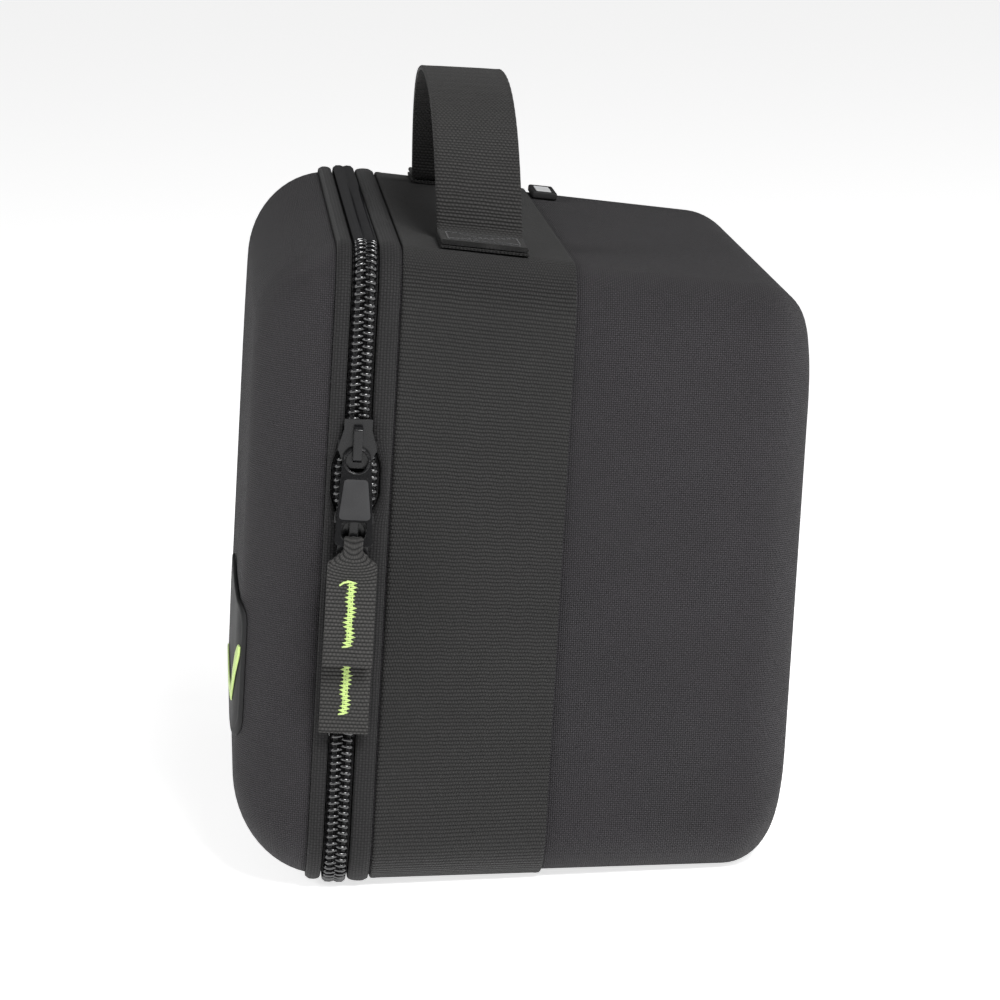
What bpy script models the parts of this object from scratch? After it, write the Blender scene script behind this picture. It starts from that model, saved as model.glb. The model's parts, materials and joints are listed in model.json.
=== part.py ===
"""Zippered hard carrying case: deep body, hinged lid, webbing band and handle, two-slider zip.

Case frame: y = 0 is the zip plane, -Y is the lid's front, +X the side with the sliders and
z = 0 the lowest line of the shells at the zip. Out means away from the rim's outline.
The whole case hangs on the empty case_frame, which leans it back until it stands.
"""
import math

import bmesh
import bpy
from mathutils import Matrix, Vector

MM = 0.001
GAP = 0.3 * MM  # between pieces that touch

# Shells
CASE_WIDTH = 241 * MM
CASE_HEIGHT = 182.5 * MM
CORNER_RADIUS = 15.0 * MM  # at the rim
CORNER_LEAST = 4.0 * MM
WALL = 4.0 * MM
LINING = 1.0 * MM
BODY_DEPTH = 130.4 * MM
BODY_DRAFT = 0.056  # radians
BODY_FILLET = 17.8 * MM
BODY_CORNER_GROWTH = 0.2  # how fast corners widen where the shell turns in
LID_DEPTH = 31.0 * MM
LID_DRAFT = 0.042
LID_FILLET = 26.2 * MM
LID_CORNER_GROWTH = -0.2
LID_CROWN = 0.8 * MM  # how far the lid's front bulges
CORNER_STEPS = 5
FILLET_STEPS = 6
CROWN_STEPS = 3

# Rim bindings, tapes and the No. 8 coil between them
BODY_LIP = 9.9 * MM  # far edge from the zip plane
LID_LIP = 8.2 * MM
LIP_OUT = 1.9 * MM
LIP_IN = 1.2 * MM
TAPE_OUT = -0.2 * MM
TAPE = 0.8 * MM
COIL_WIDTH = 2.8 * MM  # one half
COIL_HEIGHT = 2.5 * MM
COIL_CHAMFER = (0.3, 0.35)  # of its width and height, on the outer edge
COIL_SPLIT = 0.3 * MM  # zip plane to the coil where it is shut
COIL_SPREAD = 3.1 * MM  # how far each half moves out between the sliders
LIP_CLEAR = 0.8 * MM  # coil to lip
SPREAD_FLAT = 3.0 * MM
SPREAD_END = 14.0 * MM
SPREAD_STEPS = (11.5 * MM, 9.0 * MM, 7.0 * MM, 5.0 * MM)
SLIDERS_MEET = 117.7 * MM  # height of the point between the two sliders

# Sliders: heights are measured from the pull's pivot toward the closed zip
SLIDER_NARROW = 8.0 * MM
SLIDER_WIDE = 11.1 * MM
SLIDER_BACK = -6.0 * MM
SLIDER_SHOULDER = -0.5 * MM
SLIDER_FRONT = 8.0 * MM
SLIDER_NOSE = 3.0 * MM  # straight length of the narrow end
PLATE = 1.2 * MM
FLANGE = 0.8 * MM
FLANGE_LENGTH = 3.2 * MM
FLANGE_MIDDLE = 0.3 * MM
BACK_CLEAR = 0.5 * MM  # tape to back plate
POST_WIDTH = 3.6 * MM
POST_TIP = 1.0 * MM
POST_ENDS = (-5.2 * MM, -1.8 * MM)
PIVOT_FROM_MEET = 10.0 * MM
PIVOT_RISE = 1.1 * MM  # above the slider's top plate
CROWN_WIDTH = 2.6 * MM
CROWN_BACK = -4.0 * MM
CROWN_FRONT = 6.2 * MM
CROWN_LEG = 1.6 * MM
CROWN_BAR = 1.0 * MM
CROWN_SLOPE = 0.9 * MM

# Pulls and their webbing tabs
PULLER_THICK = 1.3 * MM
PULLER_TOP = 8.2 * MM
PULLER_BOTTOM = 10.8 * MM
PULLER_LENGTH = 28.0 * MM
PULLER_CORNER = 1.5 * MM
EYE_RADIUS = 3.2 * MM
EYE_DROP = 3.85 * MM
SLOT_WIDTH = 7.1 * MM
SLOT_HEIGHT = 5.2 * MM
SLOT_BAR = 1.6 * MM
SLOT_CORNER = 0.8 * MM
UPPER_TILT = math.radians(10.5)
TAB_WIDTH = 14.0 * MM
TAB_LENGTH = 35.0 * MM
TAB_THICK = 2.2 * MM
TAB_LOOP = 0.85 * MM
TAB_NECK = 0.9 * MM  # pull to the stitched part
TAB_FLARE = 3.5 * MM
TAB_OVERLAP = 1.0 * MM
LOOP_CLEAR = 0.35 * MM
TACK_WIDTH = 4.6 * MM
TACK_LENGTH = 19.0 * MM
TACK_DROP = 10.5 * MM
TACK_THICK = 0.4 * MM

# Band, handle and block
BAND_START = 10.5 * MM
BAND_WIDTH = 49.5 * MM
BAND_THICK = 0.75 * MM
BAND_GAP = 0.25 * MM
HANDLE_WIDTH = 25.0 * MM
HANDLE_THICK = 1.4 * MM
HANDLE_END = 0.8 * MM
HANDLE_REACH = 106.0 * MM
HANDLE_FOOT = 26.0 * MM
HANDLE_RISE = 41.3 * MM
HANDLE_BACK = 34.0 * MM
HANDLE_UPRIGHT = 0.8  # share of the case's lean that the loop takes back
HANDLE_HEEL = (3.0 * MM, 2.0 * MM)  # where the strap turns up: run along the foot, rise
HANDLE_LEG = (-10.0 * MM, 30.0 * MM)  # control point of the curve, from the heel
HANDLE_SHOULDER = 45.0 * MM  # control point of the curve, from the crest
STITCHING = (17.0 * MM, 20.0 * MM, 0.4 * MM)
STITCHING_SHIFT = 3.0 * MM  # toward the foot's end
BLOCK_SIZE = (22.0 * MM, 8.0 * MM, 2.4 * MM)
BLOCK_ACROSS = -91.0 * MM
BLOCK_CLEAR = 1.0 * MM  # band to block
BLOCK_EDGE = 0.6 * MM
INLAY_BORDER = 1.2 * MM
INLAY_DEPTH = 1.0 * MM
INLAY_RECESS = 0.2 * MM

# Lid trim and interior
BADGE_RIGHT = 105.0 * MM
BADGE_WIDTH = 90.0 * MM
BADGE_BOTTOM = 38.0 * MM
BADGE_HEIGHT = 39.0 * MM
BADGE_THICK = 1.0 * MM
BADGE_BENDS_ACROSS = (2.0, 4.5, 7.5, 11.0, 15.0, 30.0, 50.0, 70.0)  # mm from its right edge
BADGE_BENDS_UP = (2.0, 4.0, 6.5, 10.0, 20.0)  # mm from its bottom edge
MARK_THICK = 0.4 * MM
MARK_BORDER = 9.0 * MM
MARK_HEIGHT = 18.0 * MM
MARK_STROKE = 3.5 * MM
POCKET_BACK = 8.0 * MM  # from the lid's lining
POCKET_THICK = 1.0 * MM
POCKET_TOP = 118.0 * MM
POCKET_BINDING = (10.0 * MM, 2.0 * MM)
FOAM = 6.0 * MM
HINGE_OUT = 2.9 * MM  # fold line of the gusset, outside the rim's outline
GUSSET = 0.8 * MM

COLLECTION = "zippered_hard_case"


# ---------------------------------------------------------------- scene and materials
def clear_scene():
    for item in list(bpy.data.objects):
        bpy.data.objects.remove(item, do_unlink=True)


def collection(name):
    made = bpy.data.collections.new(name)
    bpy.context.scene.collection.children.link(made)
    return made


MATERIALS = {
    "shell_fabric": ((0.045, 0.043, 0.046, 1), 0.85, 0.0),
    "lining_fabric": ((0.03, 0.03, 0.032, 1), 0.9, 0.0),
    "foam": ((0.05, 0.05, 0.052, 1), 0.95, 0.0),
    "webbing": ((0.03, 0.03, 0.03, 1), 0.7, 0.0),
    "binding": ((0.035, 0.035, 0.036, 1), 0.8, 0.0),
    "nylon_coil": ((0.02, 0.02, 0.02, 1), 0.3, 0.0),
    "painted_metal": ((0.02, 0.02, 0.02, 1), 0.35, 1.0),
    "rubber": ((0.02, 0.02, 0.02, 1), 0.5, 0.0),
    "neon_thread": ((0.6, 0.95, 0.1, 1), 0.6, 0.0),
    "black_thread": ((0.03, 0.03, 0.03, 1), 0.7, 0.0),
    "white_plastic": ((0.85, 0.85, 0.85, 1), 0.4, 0.0),
    "mesh_fabric": ((0.03, 0.03, 0.03, 1), 0.8, 0.0),
}


def material(name):
    if name in bpy.data.materials:
        return bpy.data.materials[name]
    colour, roughness, metallic = MATERIALS[name]
    made = bpy.data.materials.new(name)
    made.use_nodes = True
    shader = made.node_tree.nodes["Principled BSDF"]
    shader.inputs["Base Color"].default_value = colour
    shader.inputs["Roughness"].default_value = roughness
    shader.inputs["Metallic"].default_value = metallic
    return made


def empty(name, location, parent, rotation=None):
    made = bpy.data.objects.new(name, None)
    parts.objects.link(made)
    made.parent = parent
    made.location = location
    if rotation:
        made.rotation_euler = rotation
    return made


def add_part(name, mesh, look, parent, matrix=None):
    """A named piece under its parent, placed by a matrix in the parent's frame."""
    made = bpy.data.objects.new(name, mesh)
    parts.objects.link(made)
    mesh.materials.clear()
    mesh.materials.append(material(look))
    made.parent = parent
    if matrix is not None:
        made.matrix_basis = matrix
    return made


def add_cutter(name, mesh, parent, matrix):
    made = bpy.data.objects.new(name, mesh)
    cutters.objects.link(made)
    made.parent = parent
    made.matrix_basis = matrix
    made.hide_render = True
    made.display_type = "WIRE"
    return made


def boolean(target, tool, operation):
    step = target.modifiers.new(operation.lower(), "BOOLEAN")
    step.operation = operation
    step.solver = "EXACT"
    step.object = tool


def solidify(target, thickness, outward=False):
    step = target.modifiers.new("thickness", "SOLIDIFY")
    step.thickness = thickness
    step.offset = 1.0 if outward else -1.0
    step.use_even_offset = True


# ---------------------------------------------------------------- mesh tools
def to_mesh(name, work):
    bmesh.ops.recalc_face_normals(work, faces=work.faces)
    mesh = bpy.data.meshes.new(name)
    work.to_mesh(mesh)
    work.free()
    return mesh


def loft(name, rings, closed=True, start_cap=False, end_cap=False):
    """Faces between rings of points that have the same count."""
    work = bmesh.new()
    rows = [[work.verts.new(p) for p in ring] for ring in rings]
    count = len(rows[0])
    for low, high in zip(rows, rows[1:]):
        for i in range(count if closed else count - 1):
            j = (i + 1) % count
            work.faces.new((low[i], low[j], high[j], high[i]))
    if start_cap:
        work.faces.new(rows[0])
    if end_cap:
        work.faces.new(rows[-1])
    return to_mesh(name, work)


def merged(mesh):
    """The same mesh with coincident points joined."""
    work = bmesh.new()
    work.from_mesh(mesh)
    bmesh.ops.remove_doubles(work, verts=work.verts, dist=1e-6)
    name = mesh.name
    bpy.data.meshes.remove(mesh)
    return to_mesh(name, work)


def box(name, size):
    work = bmesh.new()
    bmesh.ops.create_cube(work, size=1.0)
    bmesh.ops.scale(work, vec=size, verts=work.verts)
    return to_mesh(name, work)


def plate(name, outline, thickness, holes=()):
    """A flat outline in XY, filled and thickened along Z, as a mesh."""
    curve = bpy.data.curves.new(name, "CURVE")
    curve.dimensions = "2D"
    curve.fill_mode = "BOTH"
    curve.extrude = thickness / 2
    for loop in (outline, *holes):
        spline = curve.splines.new("POLY")
        spline.points.add(len(loop) - 1)
        for point, (x, y) in zip(spline.points, loop):
            point.co = (x, y, 0, 1)
        spline.use_cyclic_u = True
    helper = bpy.data.objects.new(name, curve)
    cutters.objects.link(helper)
    bpy.context.view_layer.update()
    seen = helper.evaluated_get(bpy.context.evaluated_depsgraph_get())
    mesh = bpy.data.meshes.new_from_object(seen)
    bpy.data.objects.remove(helper, do_unlink=True)
    return merged(mesh)


def arc(centre, radius, start, end, steps):
    """Points on an arc, angles in degrees."""
    angles = [math.radians(start + (end - start) * i / steps) for i in range(steps + 1)]
    return [(centre[0] + radius * math.cos(a), centre[1] + radius * math.sin(a)) for a in angles]


def place(x=0.0, y=0.0, z=0.0, turn=None):
    return Matrix.Translation((x, y, z)) @ (turn.to_4x4() if turn else Matrix.Identity(4))


# a plate's X, Y and thickness turned to the case's Y, Z and X
FACING_SIDE = Matrix(((0, 0, 1), (1, 0, 0), (0, 1, 0)))
# a plate's X, Y and thickness turned to the case's X, Z and -Y
FACING_FRONT = Matrix(((1, 0, 0), (0, 0, -1), (0, 1, 0)))


# ---------------------------------------------------------------- outlines
BODY_RIM = BODY_LIP + GAP
LID_RIM = LID_LIP + GAP


def outline(inset, radius):
    """Rounded rectangle set in from the rim: x, z and the outward direction of each point."""
    half_x, half_z = CASE_WIDTH / 2 - inset, CASE_HEIGHT / 2 - inset
    points = []
    for quarter, (sx, sz) in enumerate(((-1, 1), (1, 1), (1, -1), (-1, -1))):
        for i in range(CORNER_STEPS + 1):
            angle = math.radians(180 - 90 * quarter - 90 * i / CORNER_STEPS)
            nx, nz = math.cos(angle), math.sin(angle)
            x = sx * (half_x - radius) + radius * nx
            z = CASE_HEIGHT / 2 + sz * (half_z - radius) + radius * nz
            points.append((x, z, nx, nz))
    return points


SHELLS = {
    "body": (1, BODY_RIM, BODY_DEPTH, BODY_DRAFT, BODY_FILLET, BODY_CORNER_GROWTH, 0.0),
    "lid": (-1, LID_RIM, LID_DEPTH, LID_DRAFT, LID_FILLET, LID_CORNER_GROWTH, LID_CROWN),
}


def shell_profile(which):
    """Distance from the zip plane, inset and slope angle, from the rim to the end panel."""
    _, rim, depth, draft, fillet, _, crown = SHELLS[which]
    centre = depth - crown - fillet
    start = max(draft, math.asin(max(0.0, rim - centre) / fillet))
    straight = max(0.0, centre + fillet * math.sin(start) - rim)
    points = [(rim, 0.0, start)] if straight > GAP else []
    for i in range(FILLET_STEPS + 1):
        angle = start + (math.pi / 2 - start) * i / FILLET_STEPS
        inset = straight * math.tan(draft) + fillet * (math.cos(start) - math.cos(angle))
        points.append((centre + fillet * math.sin(angle), inset, angle))
    edge, across = points[-1][0], CASE_HEIGHT / 2 - points[-1][1] - 2 * CORNER_LEAST
    for i in range(1, CROWN_STEPS + 1 if crown else 0):
        share = i / CROWN_STEPS
        rise = crown * (1 - (1 - share) ** 2)
        inset = CASE_HEIGHT / 2 - 2 * CORNER_LEAST - across * (1 - share)
        points.append((edge + rise, inset, math.pi / 2))
    return points


def section_radius(which, inset):
    return CORNER_RADIUS + SHELLS[which][5] * inset


def ring(which, distance, inset, under=0.0, angle=0.0):
    """The shell's section at a distance from the zip plane, or a layer under its surface."""
    depth = distance - under * math.sin(angle)
    shrink = under * math.cos(angle)
    radius = max(CORNER_LEAST, section_radius(which, inset) - shrink)
    return [(x, SHELLS[which][0] * depth, z) for x, z, _, _ in outline(inset + shrink, radius)]


def body_inset(distance):
    return (distance - BODY_RIM) * math.tan(BODY_DRAFT)


def shell_layer(name, which, under, thickness):
    """A layer of a shell, closed at its end: its outer face lies this far under the surface."""
    profile = shell_profile(which)

    def face(depth):
        rings = [ring(which, profile[0][0], 0.0, depth)]
        return rings + [ring(which, *point[:2], depth, point[2]) for point in profile[1:]]

    rings = list(reversed(face(under + thickness))) + face(under)
    return loft(name, rings, start_cap=True, end_cap=True)


def lid_front(x, z):
    """How far the lid's surface lies from the zip plane at a point of its front."""
    low, high = 0.0, CASE_HEIGHT / 2 - 2 * CORNER_LEAST
    for _ in range(40):
        inset = (low + high) / 2
        radius = max(CORNER_LEAST, section_radius("lid", inset))
        across = abs(x) - (CASE_WIDTH / 2 - inset - radius)
        up = abs(z - CASE_HEIGHT / 2) - (CASE_HEIGHT / 2 - inset - radius)
        outside = math.hypot(max(0, across), max(0, up)) + min(0, max(across, up)) > radius
        low, high = (low, inset) if outside else (inset, high)
    profile = shell_profile("lid")
    for (d0, i0, _), (d1, i1, _) in zip(profile, profile[1:]):
        if i0 <= inset <= i1:
            return d0 + (d1 - d0) * (inset - i0) / (i1 - i0)
    return profile[-1][0]


# ---------------------------------------------------------------- rim and zip
def spread(height):
    """0 where the zip is shut, 1 between the sliders."""
    away = abs(height - SLIDERS_MEET)
    share = (SPREAD_END - away) / (SPREAD_END - SPREAD_FLAT)
    share = min(1.0, max(0.0, share))
    return share * share * (3 - 2 * share)


def rim_stations():
    """Points round the rim from the hinge's top end, over the slider side, to its bottom end."""
    corners = [(*point, 0.0) for point in outline(0.0, CORNER_RADIUS)]
    half = len(corners) // 2
    distances = [SPREAD_END + SPREAD_FLAT, SPREAD_END, *SPREAD_STEPS, SPREAD_FLAT]
    heights = [SLIDERS_MEET + d for d in distances] + [SLIDERS_MEET - d for d in reversed(distances)]
    near = [(CASE_WIDTH / 2, z, 1.0, 0.0, spread(z)) for z in heights]
    return corners[:half] + near + corners[half:]


def sweep(name, stations, section, side, closed):
    """A section of (out, distance from the zip plane) points carried along the rim."""
    rings = []
    for x, z, nx, nz, opened in stations:
        points = section(opened)
        rings.append([(x + nx * out, side * away, z + nz * out) for out, away in points])
    if closed:
        return merged(loft(name, rings + rings[:1]))
    return loft(name, rings, start_cap=True, end_cap=True)


def coil_start(opened):
    return COIL_SPLIT + COIL_SPREAD * opened


def coil_end(opened):
    return coil_start(opened) + COIL_WIDTH


def lip_start(opened):
    return coil_end(opened) + LIP_CLEAR


def lip_section(far):
    """A rounded lip from the coil's side to its far edge."""

    def section(opened):
        near = lip_start(opened)
        third = (far - near) / 4
        return [
            (-LIP_IN, near),
            (LIP_OUT * 0.4, near),
            (LIP_OUT * 0.85, near + third / 2),
            (LIP_OUT, near + third),
            (LIP_OUT, far - third),
            (LIP_OUT * 0.85, far - third / 2),
            (LIP_OUT * 0.4, far),
            (-LIP_IN, far),
        ]

    return section


def tape_section(opened):
    near, far = coil_start(opened), lip_start(opened) - GAP
    return [(TAPE_OUT - TAPE, near), (TAPE_OUT, near), (TAPE_OUT, far), (TAPE_OUT - TAPE, far)]


COIL_BASE = TAPE_OUT + GAP
COIL_TOP = COIL_BASE + COIL_HEIGHT


def coil_section(opened):
    near, far = coil_start(opened), coil_end(opened)
    across, down = COIL_CHAMFER
    return [
        (COIL_BASE, near),
        (COIL_TOP, near),
        (COIL_TOP, far - COIL_WIDTH * across),
        (COIL_TOP - COIL_HEIGHT * down, far),
        (COIL_BASE, far),
    ]


def gusset_section(_):
    """Half of the hinge strip, bowed out to its fold line."""
    fold, edge, far = HINGE_OUT - GAP, LIP_OUT / 2, lip_start(0) - GAP
    return [(fold - GUSSET, GAP), (fold, GAP), (edge + GUSSET / 2, far), (edge - GUSSET / 2, far)]


def make_rim(which, parent):
    side = 1 if which == "body" else -1
    far = BODY_LIP if which == "body" else LID_LIP
    stations = rim_stations()
    mesh = sweep(which + "_rim_binding", stations, lip_section(far), side, closed=True)
    add_part(which + "_rim_binding", mesh, "binding", parent)
    strips = (("_zip_tape", tape_section, "webbing"), ("_zip_coil", coil_section, "nylon_coil"))
    for name, section, look in strips:
        mesh = sweep(which + name, stations, section, side, closed=False)
        add_part(which + name, mesh, look, parent)
    half = CASE_HEIGHT / 2 - CORNER_RADIUS - GAP
    hinge_side = [
        (-CASE_WIDTH / 2, CASE_HEIGHT / 2 + half, -1.0, 0.0, 0.0),
        (-CASE_WIDTH / 2, CASE_HEIGHT / 2 - half, -1.0, 0.0, 0.0),
    ]
    name = which + "_hinge_gusset"
    add_part(name, sweep(name, hinge_side, gusset_section, side, closed=False), "binding", parent)


# ---------------------------------------------------------------- shells and interior
def make_shell(which, parent):
    layers = (("_shell", 0.0, WALL, "shell_fabric"), ("_lining", WALL + GAP, LINING, "lining_fabric"))
    for name, under, thickness, look in layers:
        mesh = shell_layer(which + name, which, under, thickness)
        add_part(which + name, mesh, look, parent)


LAYERS = WALL + LINING + 2 * GAP


def flat_inside(name, which, distance, thickness, look, parent, top=None):
    """A flat sheet across the inside of a shell, its edges clear of the lining."""
    rings = []
    for face in (distance, distance + thickness):
        inset, radius = inside_section(which, face)
        points = [(x, z) for x, z, _, _ in outline(inset, radius)]
        rings.append([(x, SHELLS[which][0] * face, min(z, top) if top else z) for x, z in points])
    mesh = merged(loft(name, rings, start_cap=True, end_cap=True))
    return add_part(name, mesh, look, parent)


def inside_section(which, distance):
    """Inset and corner radius of the free space inside the lining at a distance from the zip plane."""
    inner = []
    for d, i, a in shell_profile(which):
        shrink = LAYERS * math.cos(a)
        radius = max(CORNER_LEAST, section_radius(which, i) - shrink)
        inner.append((d - LAYERS * math.sin(a), i + shrink, radius))
    inner.insert(0, (SHELLS[which][1], LAYERS, section_radius(which, 0) - LAYERS))
    for (d0, i0, r0), (d1, i1, r1) in zip(inner, inner[1:]):
        if d0 <= distance <= d1:
            share = (distance - d0) / (d1 - d0)
            return i0 + (i1 - i0) * share + GAP, r0 + (r1 - r0) * share
    return inner[-1][1] + GAP, inner[-1][2]


def make_pocket(parent):
    """A net pocket across the lower part of the lid, with a bound top edge."""
    back = LID_DEPTH - LAYERS - POCKET_BACK
    binding_height, binding_thick = POCKET_BINDING
    flat_inside("mesh_pocket", "lid", back, POCKET_THICK, "mesh_fabric", parent, POCKET_TOP)
    middle = back + POCKET_THICK / 2
    half = CASE_WIDTH / 2 - inside_section("lid", middle + binding_thick / 2)[0] - GAP
    mesh = box("pocket_binding", (2 * half, binding_thick, binding_height))
    spot = place(0, -middle, POCKET_TOP + GAP + binding_height / 2)
    add_part("pocket_binding", mesh, "webbing", parent, spot)


def front_patch(name, outline_points, low, high, look, parent):
    """A thin patch bent over the lid's front, between two heights over its surface."""
    work = bmesh.new()
    work.from_mesh(plate(name, outline_points, high - low))
    right, bottom = BADGE_RIGHT, BADGE_BOTTOM
    cuts = [((right - d * MM, 0, 0), (1, 0, 0)) for d in BADGE_BENDS_ACROSS]
    cuts += [((0, bottom + d * MM, 0), (0, 1, 0)) for d in BADGE_BENDS_UP]
    for point, normal in cuts:
        everything = work.verts[:] + work.edges[:] + work.faces[:]
        bmesh.ops.bisect_plane(work, geom=everything, dist=1e-7, plane_co=point, plane_no=normal)
    middle = (low + high) / 2
    for vertex in work.verts:
        x, z, over = vertex.co
        vertex.co = (x, -(lid_front(x, z) + middle + over), z)
    add_part(name, to_mesh(name, work), look, parent)


def make_badge(parent):
    left, top = BADGE_RIGHT - BADGE_WIDTH, BADGE_BOTTOM + BADGE_HEIGHT
    corners = [(left, BADGE_BOTTOM), (BADGE_RIGHT, BADGE_BOTTOM), (BADGE_RIGHT, top), (left, top)]
    face = GAP + BADGE_THICK
    front_patch("badge", corners, GAP, face, "rubber", parent)
    foot, head = BADGE_BOTTOM + MARK_BORDER, BADGE_BOTTOM + MARK_BORDER + MARK_HEIGHT
    start, bend = left + MARK_BORDER, BADGE_RIGHT - MARK_BORDER
    end = BADGE_RIGHT - MARK_STROKE / 2
    mark = [(start, foot), (bend, foot), (end, head), (end - 1.5 * MARK_STROKE, head)]
    mark += [(bend - MARK_STROKE, foot + MARK_STROKE), (start, foot + MARK_STROKE)]
    front_patch("badge_mark", mark, face + GAP, face + GAP + MARK_THICK, "neon_thread", parent)


# ---------------------------------------------------------------- band, handle and block
def top_of_case(distance):
    return CASE_HEIGHT - body_inset(distance)


def make_band(parent):
    distances = (BAND_START, BAND_START + BAND_WIDTH)
    rings = [ring("body", d, body_inset(d), under=-BAND_GAP) for d in distances]
    band = add_part("webbing_band", loft("webbing_band", rings), "webbing", parent)
    solidify(band, BAND_THICK, outward=True)


def handle_line(steps=9):
    """Centre line of one half of the handle, from its foot's end to its crest: (x, rise)."""
    heel = Vector((HANDLE_REACH - HANDLE_FOOT, 0))
    leg = heel + Vector(HANDLE_LEG)
    crest = Vector((0, HANDLE_RISE))
    shoulder = crest + Vector((HANDLE_SHOULDER, 0))
    run, turn_up = HANDLE_HEEL
    points = [Vector((HANDLE_REACH, 0)), heel + Vector((run, 0))]
    for i in range(1, steps + 1):
        t = i / steps
        start = heel + Vector((0, turn_up)) * min(1, 3 * t)
        points.append(
            start * (1 - t) ** 3 + leg * 3 * t * (1 - t) ** 2 + shoulder * 3 * t * t * (1 - t) + crest * t**3
        )
    return points


BAND_TOP = BAND_GAP + BAND_THICK


def handle_point(x, rise, across, lift, lean):
    """A handle point: feet lie along the case's top, the loop stands nearly upright."""
    fade = max(0.0, 1 - rise / HANDLE_RISE)
    y = HANDLE_BACK + across - rise * math.tan(lean * HANDLE_UPRIGHT)
    z = top_of_case(HANDLE_BACK) + lift + rise - across * math.tan(BODY_DRAFT) * fade
    return (x, y, z)


def make_handle(parent, lean):
    half = handle_line()
    line = [(p.x, p.y) for p in half] + [(-p.x, p.y) for p in reversed(half[:-1])]
    lift = BAND_TOP + 2 * GAP + HANDLE_END
    sides = (HANDLE_WIDTH / 2, -HANDLE_WIDTH / 2)
    rings = [[handle_point(x, rise, across, lift, lean) for across in sides] for x, rise in line]
    strap = add_part("handle_strap", loft("handle_strap", rings, closed=False), "webbing", parent)
    solidify(strap, HANDLE_THICK, outward=strap.data.polygons[0].normal.z > 0)
    tilt = Matrix.Rotation(-BODY_DRAFT, 3, "X")
    for name, sign in (("right", 1), ("left", -1)):
        foot = sign * (HANDLE_REACH - HANDLE_FOOT / 2)
        end = box("handle_end_" + name, (HANDLE_FOOT, HANDLE_WIDTH, HANDLE_END))
        level = top_of_case(HANDLE_BACK) + BAND_TOP + GAP + HANDLE_END / 2
        add_part("handle_end_" + name, end, "webbing", parent, place(foot, HANDLE_BACK, level, tilt))
        tack = box("handle_stitching_" + name, STITCHING)
        level = top_of_case(HANDLE_BACK) + lift + HANDLE_THICK + GAP + STITCHING[2] / 2
        spot = place(foot + sign * STITCHING_SHIFT, HANDLE_BACK, level, tilt)
        add_part("handle_stitching_" + name, tack, "black_thread", parent, spot)


def make_block(parent):
    width, length, height = BLOCK_SIZE
    distance = BAND_START + BAND_WIDTH + BLOCK_CLEAR + length / 2
    tilt = Matrix.Rotation(-BODY_DRAFT, 3, "X")
    level = top_of_case(distance) + GAP + height / 2
    spot = place(BLOCK_ACROSS, distance, level, tilt)
    block = add_part("top_block", box("top_block", BLOCK_SIZE), "rubber", parent, spot)
    edge = block.modifiers.new("rounded", "BEVEL")
    edge.width = BLOCK_EDGE
    edge.segments = 2
    opening = (width - 2 * INLAY_BORDER, length - 2 * INLAY_BORDER, 2 * INLAY_DEPTH)
    top = spot @ Matrix.Translation((0, 0, height / 2))
    pocket = add_cutter("block_pocket", box("block_pocket", opening), parent, top)
    boolean(block, pocket, "DIFFERENCE")
    thick = INLAY_DEPTH - GAP - INLAY_RECESS
    inlay = box("top_block_inlay", (opening[0] - 2 * GAP, opening[1] - 2 * GAP, thick))
    spot = top @ Matrix.Translation((0, 0, -INLAY_RECESS - thick / 2))
    add_part("top_block_inlay", inlay, "white_plastic", parent, spot)


# ---------------------------------------------------------------- sliders and pulls
PLATE_BASE = COIL_TOP + GAP  # underside of the slider's top plate, out from the rim
PIVOT_OUT = PLATE_BASE + PLATE + PIVOT_RISE
BACK_PLATE = TAPE_OUT - TAPE - BACK_CLEAR  # outer face of the slider's back plate


def slider_outline():
    n, w = SLIDER_NARROW / 2, SLIDER_WIDE / 2
    taper = SLIDER_FRONT - SLIDER_NOSE
    right = [(n, SLIDER_FRONT), (n, taper), (w, SLIDER_SHOULDER), (w * 0.6, SLIDER_BACK)]
    return right + [(-y, z) for y, z in reversed(right)]


def make_slider_body(name, axis):
    """Top plate, back plate and the post that parts the coil, joined into one piece."""

    def at(out):
        return place(out - PIVOT_OUT, 0, 0, FACING_SIDE)

    front = plate(name, slider_outline(), PLATE)
    body = add_part(name, front, "painted_metal", axis, at(PLATE_BASE + PLATE / 2))
    rear = plate(name + "_back", slider_outline(), PLATE)
    back = add_cutter(name + "_back", rear, axis, at(BACK_PLATE - PLATE / 2))
    low, high = BACK_PLATE - PLATE / 2, PLATE_BASE + PLATE / 2
    half, tip, (back_end, tip_end) = POST_WIDTH / 2, POST_TIP / 2, POST_ENDS
    wedge = [(tip, tip_end), (-tip, tip_end), (-half, back_end), (half, back_end)]
    post = add_cutter(name + "_post", plate(name + "_post", wedge, high - low), axis, at((low + high) / 2))
    boolean(body, back, "UNION")
    boolean(body, post, "UNION")
    drop = PLATE_BASE - LIP_OUT - 2 * GAP
    for mark, sign in (("_flange_right", 1), ("_flange_left", -1)):
        edge = SLIDER_WIDE / 2 - FLANGE / 2
        strip = box(name + mark, (drop + PLATE / 2, FLANGE, FLANGE_LENGTH))
        spot = place(PLATE_BASE - drop / 2 + PLATE / 4 - PIVOT_OUT, sign * edge, FLANGE_MIDDLE)
        boolean(body, add_cutter(name + mark, strip, axis, spot), "UNION")


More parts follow.
